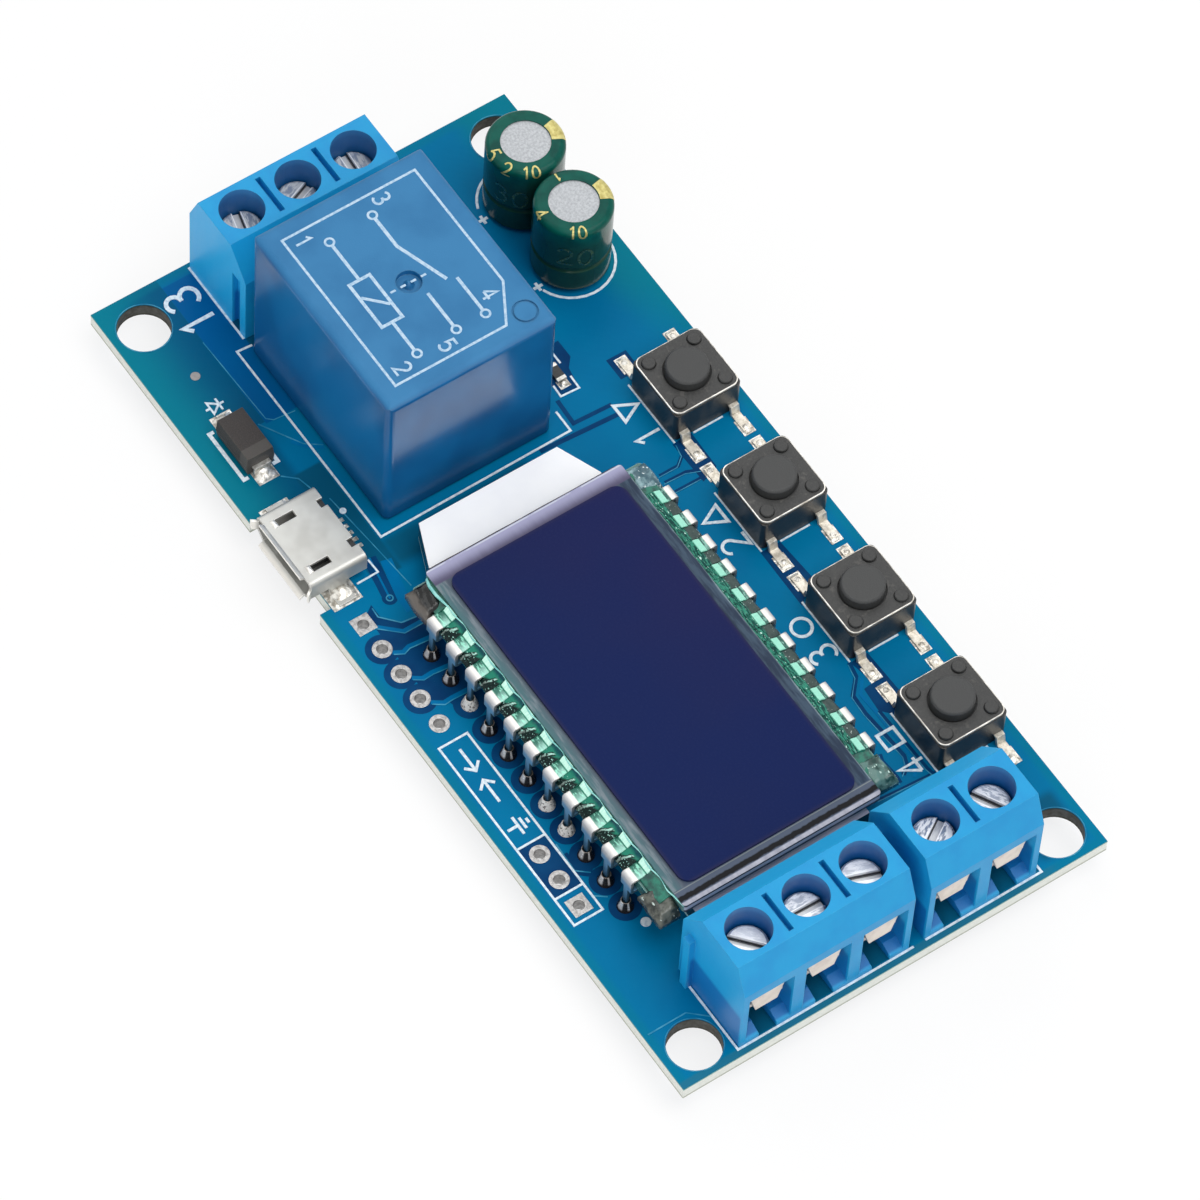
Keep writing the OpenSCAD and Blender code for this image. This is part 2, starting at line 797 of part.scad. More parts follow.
module relay_terminals() {
    rest_contact = spring_low + spring_sheet + contact_height + seat_gap;
    work_contact = spring_low - contact_height - contact_travel - strip_sheet;
    color("silver")
        at_relay() {
            contact_strip(-1, rest_contact + strip_sheet, rest_contact);
            contact_strip(1, work_contact - strip_sheet, work_contact);
            for (p = strip_pins)
                translate([p[0], p[1], 0])
                    block([-strip_sheet / 2, -relay_pin_half, tail_z],
                          [strip_sheet / 2, relay_pin_half, base_top]);
            for (p = coil_pins)
                translate([p[0], p[1], 0])
                    block([-relay_pin_half, -relay_pin_thin, tail_z],
                          [relay_pin_half, relay_pin_thin, bobbin_low]);
            translate([common_pin[0], common_pin[1], 0])
                block([-relay_pin_thin, -relay_pin_half, tail_z],
                      [relay_pin_thin, relay_pin_half, base_top]);
        }
}

module at_pole(pole) {
    translate([pole[0], pole[1], board_thickness])
        rotate([0, 0, pole[2]])
            children();
}

// Housing of a terminal block, wire entries towards its own +X; each entry's floor is open in the middle
module terminal_block(x, y, turn, count) {
    half = count * pole_pitch / 2;
    entry_back = clamp_back - running_gap;
    rib_low_x = rib_inset - block_back;
    rib_high = shoulder_height - rib_drop;
    at_pole([x, y, turn])
        difference() {
            union() {
                along_y(-half, half)
                    polygon([
                        [-block_back, 0], [block_front, 0], [block_front, shoulder_height],
                        [block_top, block_height], [-block_top, block_height], [-block_back, shoulder_height]
                    ]);
                block([rib_low_x, -half - rib_reach, 0], [rib_low_x + rib_width, -half + cut, rib_high]);
            }
            block([rib_low_x - running_gap, half - rib_reach, -cut],
                  [rib_low_x + rib_width + running_gap, half + cut, rib_high + running_gap]);
            for (i = [0:count - 1])
                translate([0, (i - (count - 1) / 2) * pole_pitch, 0]) {
                    translate([0, 0, entry_top - cut])
                        cylinder(d = well_diameter, h = block_height);
                    block([entry_back, -entry_width / 2, entry_floor],
                          [block_front + cut, entry_width / 2, entry_top]);
                    along_y(-entry_width / 2, entry_width / 2)
                        polygon([
                            [block_front - lip_depth, entry_floor + cut],
                            [block_front - lip_depth, entry_floor],
                            [block_front + cut, entry_floor - lip_drop],
                            [block_front + cut, entry_floor + cut]
                        ]);
                    block([-clamp_pin_x - running_gap, -floor_gap / 2, -cut],
                          [block_front + cut, floor_gap / 2, entry_floor + cut]);
                }
            if (count > 1)
                for (i = [1:count - 1])
                    translate([0, (i - count / 2) * pole_pitch, block_height - mark_depth])
                        block([-mark_half, -mark_width / 2, 0],
                              [mark_half, mark_width / 2, mark_depth + cut]);
        }
}

module rear_block() {
    color("deepskyblue")
        terminal_block(rear_block_x, rear_block_y, 180, 3);
}

module front_long_block() {
    color("deepskyblue")
        terminal_block(front_block_x, long_block_y, 0, 3);
}

module front_short_block() {
    color("deepskyblue")
        terminal_block(front_block_x, short_block_y, 0, 2);
}

// Fixed frame of each pole: floor, back and threaded bridge, with the board pin below
module terminal_clamps() {
    color("silver")
        for (pole = poles)
            at_pole(pole) {
                difference() {
                    along_y(-clamp_half, clamp_half)
                        polygon([
                            [clamp_back, entry_floor], [clamp_front, entry_floor],
                            [clamp_front, entry_floor + clamp_sheet],
                            [clamp_back + clamp_wall, entry_floor + clamp_sheet],
                            [clamp_back + clamp_wall, clamp_top - clamp_bridge],
                            [bridge_front, clamp_top - clamp_bridge],
                            [bridge_front, clamp_top], [clamp_back, clamp_top]
                        ]);
                    translate([0, 0, clamp_top - clamp_bridge - cut])
                        cylinder(d = shank_diameter + 2 * running_gap, h = clamp_bridge + 2 * cut);
                }
                block([-clamp_pin_x, -clamp_pin_y, tail_z], [clamp_pin_x, clamp_pin_y, entry_floor + cut]);
            }
}

// Plate that the screw drives on to the wire, with an upright flap in the wire entry
module wire_plate(pole) {
    plate_back = clamp_back + clamp_wall + 2 * running_gap;
    color("gainsboro")
        at_pole(pole) {
            block([plate_back, -clamp_half + running_gap, plate_low],
                  [plate_front - plate_sheet, clamp_half - running_gap, plate_low + plate_sheet]);
            along_x(plate_front - plate_sheet, plate_front)
                polygon([
                    [-flap_low, plate_low], [flap_low, plate_low],
                    [flap_high, plate_low + plate_rise], [-flap_high, plate_low + plate_rise]
                ]);
        }
}

// Slotted screw that stands on its wire plate
module terminal_screw(pole, slot_angle) {
    head_top = block_height - pole[3];
    head_low = head_top - head_height;
    shank_low = plate_low + plate_sheet + seat_gap;
    color("silver")
        at_pole(pole)
            difference() {
                union() {
                    translate([0, 0, shank_low])
                        cylinder(d = shank_diameter, h = head_low - shank_low + cut);
                    translate([0, 0, head_low])
                        cylinder(d = head_diameter, h = head_height - head_edge);
                    translate([0, 0, head_top - head_edge])
                        cylinder(d1 = head_diameter, d2 = head_diameter - 2 * head_edge, h = head_edge);
                }
                translate([0, 0, head_top - slot_depth])
                    rotate([0, 0, slot_angle])
                        block([-head_diameter, -slot_width / 2, 0],
                              [head_diameter, slot_width / 2, slot_depth + cut]);
            }
}

module display_plate(x, y, z, length, width, height, radius) {
    translate([x, y, board_thickness + z])
        linear_extrude(height)
            rounded_rectangle(length, width, radius);
}

module display_front_glass() {
    color("slategray", 0.5)
        display_plate(front_glass_x, front_glass_y, rear_glass_high,
                      front_glass_length, front_glass_width, front_glass_thickness, glass_corner);
}

module display_rear_glass() {
    color("lightslategray", 0.5)
        display_plate(rear_glass_x, display_y, rear_glass_low,
                      rear_glass_length, rear_glass_width, rear_glass_thickness, glass_corner);
}

module display_front_film() {
    color("midnightblue")
        display_plate(front_glass_x, front_glass_y, front_glass_high,
                      front_glass_length - 2 * window_inset_x, front_glass_width - 2 * window_inset_y,
                      film_thickness, window_round);
}

module display_rear_film() {
    color("dimgray")
        display_plate(front_glass_x + reflector_tuck / 2, guide_y, guide_top,
                      front_glass_length - 2 * window_inset_x - reflector_tuck,
                      guide_width - 2 * rear_film_margin,
                      film_thickness, window_round);
}

// Outline of the light guide, with its corners cut at the relay end
module guide_outline(high_x) {
    half = guide_width / 2;
    translate([0, guide_y])
        polygon([
            [guide_low_x, guide_cut_y - half], [guide_low_x + guide_cut_x, -half], [high_x, -half],
            [high_x, half], [guide_low_x + guide_cut_x, half], [guide_low_x, half - guide_cut_y]
        ]);
}

module display_light_guide() {
    color("whitesmoke", 0.6)
        translate([0, 0, board_thickness + guide_height])
            linear_extrude(guide_thickness)
                guide_outline(guide_high_x);
}

// White film over the end of the light guide, tucked under the rear glass
module display_reflector() {
    color("white")
        translate([0, 0, board_thickness + guide_top])
            linear_extrude(film_thickness - seat_gap)
                guide_outline(guide_low_x + guide_reach + reflector_tuck);
}

// Section of a clip: a folded strip round the edge of the rear glass, longer above than below
module clip_section(grip_low, grip_high) {
    edge = pin_leg_y - pin_offset;
    outer = pin_leg_y + clip_sheet / 2;
    inner = edge - clip_finger;
    depth = outer - inner;
    height = grip_high - grip_low + 2 * clip_sheet;
    difference() {
        translate([inner + depth / 2, (grip_low + grip_high) / 2])
            rounded_rectangle(depth, height, clip_round);
        translate([inner - cut, grip_low])
            square([depth + cut - clip_sheet, grip_high - grip_low]);
        translate([inner - cut, grip_low - clip_sheet - cut])
            square([clip_under + cut, clip_sheet + 2 * cut]);
    }
}

// Clip pin that grips the edge of the rear glass and goes down through the board
module clip_pin(place) {
    grip_low = rear_glass_low - seat_gap / 2;
    grip_high = rear_glass_high + seat_gap / 2;
    translate([place[0], display_y, board_thickness])
        mirror([0, place[2] < 0 ? 1 : 0, 0]) {
            along_x(-clip_width / 2, clip_width / 2)
                clip_section(grip_low, grip_high);
            block([-pin_leg_half, pin_leg_y - clip_sheet / 2, tail_z],
                  [pin_leg_half, pin_leg_y + clip_sheet / 2, grip_low]);
        }
}

module display_pins() {
    color("silver")
        for (p = display_pins_at)
            clip_pin(p);
}

// Clear resin along the ledge of the rear glass, moulded round the clip fingers
module display_resin() {
    edge = rear_glass_width / 2;
    outer = edge - resin_inset;
    half_length = rear_glass_length / 2 - resin_end;
    color("aquamarine", 0.5)
        for (side = [-1, 1])
            translate([0, display_y, board_thickness])
                mirror([0, side < 0 ? 1 : 0, 0]) {
                    inner = front_glass_width / 2 + side * (front_glass_y - display_y);
                    difference() {
                        along_x(rear_glass_x - half_length, rear_glass_x + half_length)
                            polygon([
                                [inner, rear_glass_high], [outer, rear_glass_high],
                                [outer, rear_glass_high + resin_rim], [inner, rear_glass_high + resin_height]
                            ]);
                        for (i = [0:pin_count - 1])
                            translate([display_pins_at[i][0], 0, rear_glass_high])
                                block([-clip_width / 2, edge - clip_finger, -cut],
                                      [clip_width / 2, edge + cut, resin_height + cut]);
                    }
                }
}

module at_button(place) {
    translate([place[0], place[1], board_thickness])
        children();
}

module button_bases() {
    color("black")
        for (p = button_places)
            at_button(p) {
                difference() {
                    translate([0, 0, button_low])
                        linear_extrude(cover_low - button_low)
                            rounded_rectangle(button_size, button_size, button_round);
                    translate([0, 0, button_floor])
                        cylinder(r = button_well_radius, h = cover_low);
                }
                for (sx = [-1, 1], sy = [-1, 1])
                    translate([sx * stake_offset, sy * stake_offset, cover_low - cut]) {
                        cylinder(r = stake_radius, h = cover_thickness + seat_gap + 2 * cut);
                        translate([0, 0, cover_thickness + seat_gap + cut])
                            cylinder(r1 = stake_radius + stake_flare, r2 = stake_radius, h = stake_rise);
                    }
            }
}

module button_covers() {
    cover_side = button_size - 2 * cover_inset;
    color("dimgray")
        for (p = button_places)
            at_button(p)
                translate([0, 0, cover_low])
                    difference() {
                        linear_extrude(cover_thickness)
                            rounded_rectangle(cover_side, cover_side, cover_round);
                        translate([0, 0, -cut])
                            cylinder(d = plunger_diameter + 2 * running_gap, h = cover_thickness + 2 * cut);
                        for (sx = [-1, 1], sy = [-1, 1])
                            translate([sx * stake_offset, sy * stake_offset, -cut])
                                cylinder(r = stake_radius + seat_gap, h = cover_thickness + 2 * cut);
                    }
}

// Snap dome on the floor of the button's well
module button_domes() {
    color("silver")
        for (p = button_places)
            at_button(p)
                translate([0, 0, button_floor])
                    rotate_extrude()
                        polygon([
                            [dome_radius, 0], [dome_radius, dome_sheet],
                            [dome_radius * dome_bend, dome_rise * dome_bend_rise + dome_sheet],
                            [dome_radius * dome_flat, dome_rise + dome_sheet / 2],
                            [0, dome_rise + dome_sheet / 2], [0, dome_rise - dome_sheet / 2],
                            [dome_radius * dome_flat, dome_rise - dome_sheet / 2],
                            [dome_radius * dome_bend, dome_rise * dome_bend_rise],
                            [dome_radius - dome_sheet, 0]
                        ]);
}

// Gull-wing legs, two on each end of a button
module button_legs() {
    color("silver")
        for (p = button_places, side = [-1, 1], row = [-1, 1])
            at_button(p)
                mirror([side < 0 ? 1 : 0, 0, 0])
                    translate([button_half, 0, 0])
                        along_y(row * leg_offset - leg_width / 2, row * leg_offset + leg_width / 2)
                            polygon([
                                [0, leg_top - leg_sheet], [leg_knee - leg_sheet, leg_top - leg_sheet],
                                [leg_knee, 0], [leg_reach, 0], [leg_reach, leg_sheet],
                                [leg_knee + leg_sheet, leg_sheet], [leg_knee, leg_top], [0, leg_top]
                            ]);
}

module plunger(place) {
    radius = plunger_diameter / 2;
    color("darkslategray")
        at_button(place)
            rotate_extrude()
                polygon([
                    [0, plunger_foot], [plunger_foot_radius, plunger_foot],
                    [plunger_foot_radius, flange_top - flange_height],
                    [flange_radius, flange_top - flange_height],
                    [flange_radius, flange_top], [radius, flange_top],
                    [radius, plunger_height - plunger_edge],
                    [radius - plunger_edge, plunger_height], [0, plunger_height]
                ]);
}

// Section of a can with a round shoulder and a rolled groove
module can_section(radius, low, high, shoulder) {
    difference() {
        union() {
            translate([0, low])
                square([radius, high - low - shoulder]);
            translate([0, low])
                square([radius - shoulder, high - low]);
            translate([radius - shoulder, high - shoulder])
                circle(shoulder);
        }
        translate([radius + groove_offset, groove_height])
            circle(groove_radius);
        translate([-shoulder * 2, low - cut])
            square([shoulder * 2, high + cut]);
    }
}

module capacitor_sleeves() {
    radius = capacitor_diameter / 2;
    inner = radius - sleeve_wall;
    roof = capacitor_height - sleeve_wall;
    color("darkgreen")
        for (p = capacitor_places)
            translate([p[0], p[1], board_thickness])
                rotate_extrude()
                    difference() {
                        can_section(radius, sleeve_low, capacitor_height, sleeve_round);
                        can_section(inner, sleeve_low - cut, roof, sleeve_round);
                        translate([0, roof - sleeve_wall])
                            square([radius - sleeve_opening, 3 * sleeve_wall]);
                    }
}

module capacitor_cans() {
    radius = capacitor_diameter / 2 - sleeve_wall;
    color("silver")
        for (p = capacitor_places)
            translate([p[0], p[1], board_thickness])
                rotate_extrude()
                    can_section(radius, bung_top, capacitor_height - sleeve_wall, sleeve_round);
}

module capacitor_bungs() {
    bung_radius = capacitor_diameter / 2 - bung_inset;
    color("dimgray")
        for (p = capacitor_places)
            translate([p[0], p[1], board_thickness + bung_low])
                cylinder(r = bung_radius, h = bung_top - bung_low);
}

module capacitor_leads() {
    color("silver")
        on_board()
            for (p = capacitor_leads_at)
                translate([p[0], p[1], tail_z])
                    cylinder(r = lead_radius, h = bung_low - tail_z);
}

module at_diode() {
    translate([diode_x, diode_y, board_thickness])
        children();
}

module diode_body() {
    half = diode_width / 2;
    color("black")
        at_diode()
            along_x(-diode_length / 2, diode_length / 2)
                polygon([
                    [diode_draft - half, diode_low], [half - diode_draft, diode_low],
                    [half, diode_split], [half - diode_draft, diode_height],
                    [diode_draft - half, diode_height], [-half, diode_split]
                ]);
}

// Tabs folded from the diode's ends down and under it
module diode_leads() {
    end = diode_length / 2;
    outer = end + diode_tab_reach;
    inner = outer - diode_tab_sheet;
    under = end - diode_tab_under;
    color("silver")
        at_diode()
            for (side = [-1, 1])
                mirror([side < 0 ? 1 : 0, 0, 0])
                    along_y(-diode_tab_width / 2, diode_tab_width / 2)
                        polygon([
                            [end, diode_split - diode_tab_sheet], [inner, diode_split - diode_tab_sheet],
                            [inner, diode_tab_sheet], [under, diode_tab_sheet], [under, 0],
                            [outer, 0], [outer, diode_split], [end, diode_split]
                        ]);
}

module at_usb() {
    translate([usb_x, 0, board_thickness])
        children();
}

// Section of the socket's shell: round above, cut at the lower corners
module usb_section(inset) {
    half = usb_width / 2 - inset;
    low = usb_low + inset;
    high = usb_height - inset;
    radius = usb_round - inset / 2;
    chamfer = usb_chamfer - inset / 2;
    polygon([
        [-half, low + chamfer], [chamfer - half, low], [half - chamfer, low],
        [half, low + chamfer], [half, high - radius], [-half, high - radius]
    ]);
    translate([radius - half, high - 2 * radius])
        square([2 * (half - radius), 2 * radius]);
    for (side = [-1, 1])
        translate([side * (half - radius), high - radius])
            circle(radius);
}

// Folded steel shell with flared lips, latch slots, notches at the back and solder tabs
module usb_shell() {
    latch_low = usb_front + latch_start;
    wall_x = usb_width / 2;
    lip_half = wall_x - usb_chamfer - cut;
    side_low = usb_low + usb_chamfer + cut;
    side_high = usb_height - usb_round - cut;
    tab_low = usb_back - usb_tab_start;
    lip_end = usb_front - lip_reach;
    color("silver")
        at_usb() {
            difference() {
                along_y(usb_front, usb_back)
                    usb_section(0);
                along_y(usb_front - cut, usb_back + cut)
                    usb_section(usb_wall);
                for (side = [-1, 1]) {
                    translate([side * latch_spread, latch_low, usb_height - 2 * usb_wall])
                        block([-latch_width / 2, 0, 0], [latch_width / 2, latch_length, 2 * usb_wall + cut]);
                    translate([side * back_notch_spread, usb_back, usb_height - 2 * usb_wall])
                        block([-back_notch_width / 2, -back_notch_length, 0],
                              [back_notch_width / 2, cut, 2 * usb_wall + cut]);
                }
            }
            along_x(-lip_half, lip_half)
                polygon([
                    [usb_front, usb_height - usb_wall], [usb_front, usb_height],
                    [lip_end, usb_height + lip_rise], [lip_end, usb_height + lip_rise - usb_wall]
                ]);
            along_x(-lip_half, lip_half)
                polygon([
                    [usb_front, usb_low], [usb_front, usb_low + usb_wall],
                    [lip_end, usb_low + usb_wall - lip_rise], [lip_end, usb_low - lip_rise]
                ]);
            for (side = [-1, 1])
                mirror([side < 0 ? 1 : 0, 0, 0]) {
                    translate([0, 0, side_low])
                        linear_extrude(side_high - side_low)
                            polygon([
                                [wall_x - usb_wall, usb_front], [wall_x, usb_front],
                                [wall_x + lip_rise, lip_end], [wall_x + lip_rise - usb_wall, lip_end]
                            ]);
                    along_y(tab_low, tab_low + usb_tab_length)
                        polygon([
                            [wall_x - usb_wall, 0], [wall_x + usb_tab_reach, 0],
                            [wall_x + usb_tab_reach, usb_wall],
                            [wall_x, usb_wall], [wall_x, side_low + usb_wall],
                            [wall_x - usb_wall, side_low + usb_wall]
                        ]);
                }
        }
}

// Moulded insert at the back of the socket, with the tongue that carries the contacts
module usb_insert() {
    back = usb_back - seat_gap;
    front = back - insert_depth;
    color("black")
        at_usb()
            difference() {
                union() {
                    block([-insert_half, front, usb_low + usb_wall + seat_gap],
                          [insert_half, back, usb_height - usb_wall - seat_gap]);
                    block([-tongue_half, usb_front + tongue_start, tongue_low],
                          [tongue_half, front + cut, tongue_high]);
                }
                for (i = [-2:2])
                    block([i * contact_pitch - contact_half, front - cut, tongue_high],
                          [i * contact_pitch + contact_half, back + cut, tongue_high + contact_sheet]);
            }
}

// Five contacts: along the tongue, through the insert and down to their tails on the board
module usb_contacts() {
    back = usb_back - seat_gap;
    tip = usb_front + contact_start;
    tail_end = usb_back + contact_tail;
    color("gold")
        at_usb()
            for (i = [-2:2])
                along_x(i * contact_pitch - contact_half, i * contact_pitch + contact_half)
                    polygon([
                        [tip, tongue_high], [back, tongue_high], [back, 0], [tail_end, 0],
                        [tail_end, contact_sheet], [back + contact_sheet, contact_sheet],
                        [back + contact_sheet, tongue_high + contact_sheet],
                        [tip, tongue_high + contact_sheet]
                    ]);
}

// Turns a chip that is drawn upright so that it hangs under the board
module under_board(place, turn) {
    translate([place[0], place[1], 0])
        rotate([180, 0, turn])
            children();
}

// Box centred on its place, from a height up to its own top
module chip_box(size, low) {
    translate([-size[0] / 2, -size[1] / 2, low])
        cube([size[0], size[1], size[2] - low]);
}

module chip_resistor_body() {
    chip_box([chip_size[0] - 2 * chip_cap, chip_size[1], chip_size[2]], 0);
}

module chip_resistor_caps() {
    for (side = [-1, 1])
        translate([side * (chip_size[0] - chip_cap) / 2, 0, 0])
            chip_box([chip_cap, chip_size[1], chip_size[2]], 0);
}

module chip_bodies() {
    color("black") {
        under_board(controller_at, 0)
            chip_box(controller_size, chip_gap);
        under_board(regulator_at, 0)
            chip_box(regulator_size, chip_gap);
        under_board(driver_at, 0)
            chip_box(driver_size, chip_gap);
        for (p = under_chips)
            under_board(p, p[2])
                chip_resistor_body();
        on_board()
            translate([top_chip_at[0], top_chip_at[1], 0])
                chip_resistor_body();
    }
}

// Bent leg that leaves a chip's side at half its height and stands on the board
module chip_leg(size, along, width) {
    middle = size[2] / 2;
    inner = chip_leg_knee - chip_leg_sheet;
    translate([along, 0, 0])
        along_x(-width / 2, width / 2)
            translate([size[1] / 2, 0])
                polygon([
                    [0, middle], [inner, middle], [inner, 0],
                    [chip_leg_reach, 0], [chip_leg_reach, chip_leg_sheet], [chip_leg_knee, chip_leg_sheet],
                    [chip_leg_knee, middle + chip_leg_sheet], [0, middle + chip_leg_sheet]
                ]);
}

module chip_leads() {
    controller_half_run = (controller_pins - 1) / 2 * controller_pitch;
    color("silver") {
        under_board(controller_at, 0)
            for (side = [0, 180], i = [0:controller_pins - 1])
                rotate([0, 0, side])
                    chip_leg(controller_size, i * controller_pitch - controller_half_run, controller_leg);
        under_board(regulator_at, 0) {
            for (i = [-1:1])
                chip_leg(regulator_size, i * regulator_pitch, regulator_leg);
            rotate([0, 0, 180])
                chip_leg(regulator_size, 0, 3 * regulator_leg);
        }
        under_board(driver_at, 0) {
            for (i = [-1, 1])
                chip_leg(driver_size, i * driver_pitch / 2, driver_leg);
            rotate([0, 0, 180])
                chip_leg(driver_size, 0, driver_leg);
        }
        for (p = under_chips)
            under_board(p, p[2])
                chip_resistor_caps();
        on_board()
            translate([top_chip_at[0], top_chip_at[1], 0])
                chip_resistor_caps();
    }
}

circuit_board();
header_eyelets();
solder_joints();
relay_cover();
relay_base();
relay_bobbin();
relay_winding();
relay_core();
relay_yoke();
relay_armature();
relay_contact_spring();
relay_terminals();
rear_block();
front_long_block();
front_short_block();
terminal_clamps();
for (i = [0:2]) {
    wire_plate(rear_poles[i]);
    terminal_screw(rear_poles[i], rear_slots[i]);
    wire_plate(long_poles[i]);
    terminal_screw(long_poles[i], long_slots[i]);
}
for (i = [0:1]) {
    wire_plate(short_poles[i]);
    terminal_screw(short_poles[i], short_slots[i]);
}
display_front_glass();
display_rear_glass();
display_front_film();
display_rear_film();
display_light_guide();
display_reflector();
display_pins();
display_resin();
button_bases();
button_covers();
button_domes();
button_legs();
for (i = [0:3])
    plunger(button_places[i]);
capacitor_sleeves();
capacitor_cans();
capacitor_bungs();
capacitor_leads();
diode_body();
diode_leads();
usb_shell();
usb_insert();
usb_contacts();
chip_bodies();
chip_leads();
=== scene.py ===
import math

import bmesh
import bpy
from mathutils import Matrix, Vector


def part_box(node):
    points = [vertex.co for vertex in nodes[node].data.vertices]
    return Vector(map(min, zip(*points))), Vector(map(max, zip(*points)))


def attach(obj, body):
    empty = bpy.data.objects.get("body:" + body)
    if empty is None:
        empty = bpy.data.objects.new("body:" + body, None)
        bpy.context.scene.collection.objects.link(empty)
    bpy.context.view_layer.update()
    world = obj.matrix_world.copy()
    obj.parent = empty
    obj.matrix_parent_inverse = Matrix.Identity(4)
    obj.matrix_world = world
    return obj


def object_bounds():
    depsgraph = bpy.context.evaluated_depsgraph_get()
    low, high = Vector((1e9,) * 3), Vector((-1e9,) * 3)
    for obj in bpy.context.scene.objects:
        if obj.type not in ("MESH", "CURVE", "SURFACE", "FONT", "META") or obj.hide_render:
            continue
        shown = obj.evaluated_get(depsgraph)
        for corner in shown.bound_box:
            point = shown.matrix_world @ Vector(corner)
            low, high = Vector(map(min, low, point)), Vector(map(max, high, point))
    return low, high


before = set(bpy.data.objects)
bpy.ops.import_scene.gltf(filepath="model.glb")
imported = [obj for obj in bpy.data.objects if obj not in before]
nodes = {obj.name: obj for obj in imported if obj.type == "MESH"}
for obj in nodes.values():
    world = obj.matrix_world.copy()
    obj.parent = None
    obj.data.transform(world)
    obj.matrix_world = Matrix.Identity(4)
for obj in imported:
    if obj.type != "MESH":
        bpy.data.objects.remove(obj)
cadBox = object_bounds()
mm = 0.001
print("frame loaded:", len(nodes), "nodes")

# shader tools


class Wire:  # an output socket with plain maths on it
    def __init__(self, paint, socket):
        self.paint, self.socket = paint, socket

    def calc(self, kind, other=None, flip=False):
        pair = (other, self) if flip else (self, other)
        values = {k: v for k, v in enumerate(pair) if v is not None}
        return self.paint.node("ShaderNodeMath", {"operation": kind}, values)

    def __add__(self, other): return self.calc("ADD", other)
    def __radd__(self, other): return self.calc("ADD", other, True)
    def __sub__(self, other): return self.calc("SUBTRACT", other)
    def __rsub__(self, other): return self.calc("SUBTRACT", other, True)
    def __mul__(self, other): return self.calc("MULTIPLY", other)
    def __rmul__(self, other): return self.calc("MULTIPLY", other, True)
    def __truediv__(self, other): return self.calc("DIVIDE", other)
    def __rtruediv__(self, other): return self.calc("DIVIDE", other, True)
    def __pow__(self, other): return self.calc("POWER", other)
    def __abs__(self): return self.calc("ABSOLUTE")
    def __gt__(self, other): return self.calc("GREATER_THAN", other)
    def __lt__(self, other): return self.calc("LESS_THAN", other)
    def fraction(self): return self.calc("FRACT")
    def sine(self): return self.calc("SINE")
    def most(self, other): return self.calc("MAXIMUM", other)
    def least(self, other): return self.calc("MINIMUM", other)


def largest(wires):
    first, *others = wires
    for other in others:
        first = first.most(other)
    return first


def linear(red, green, blue):  # 0 to 255 display values to a linear colour
    def channel(v):
        v /= 255
        return v / 12.92 if v <= 0.04045 else ((v + 0.055) / 1.055) ** 2.4
    return (channel(red), channel(green), channel(blue), 1)


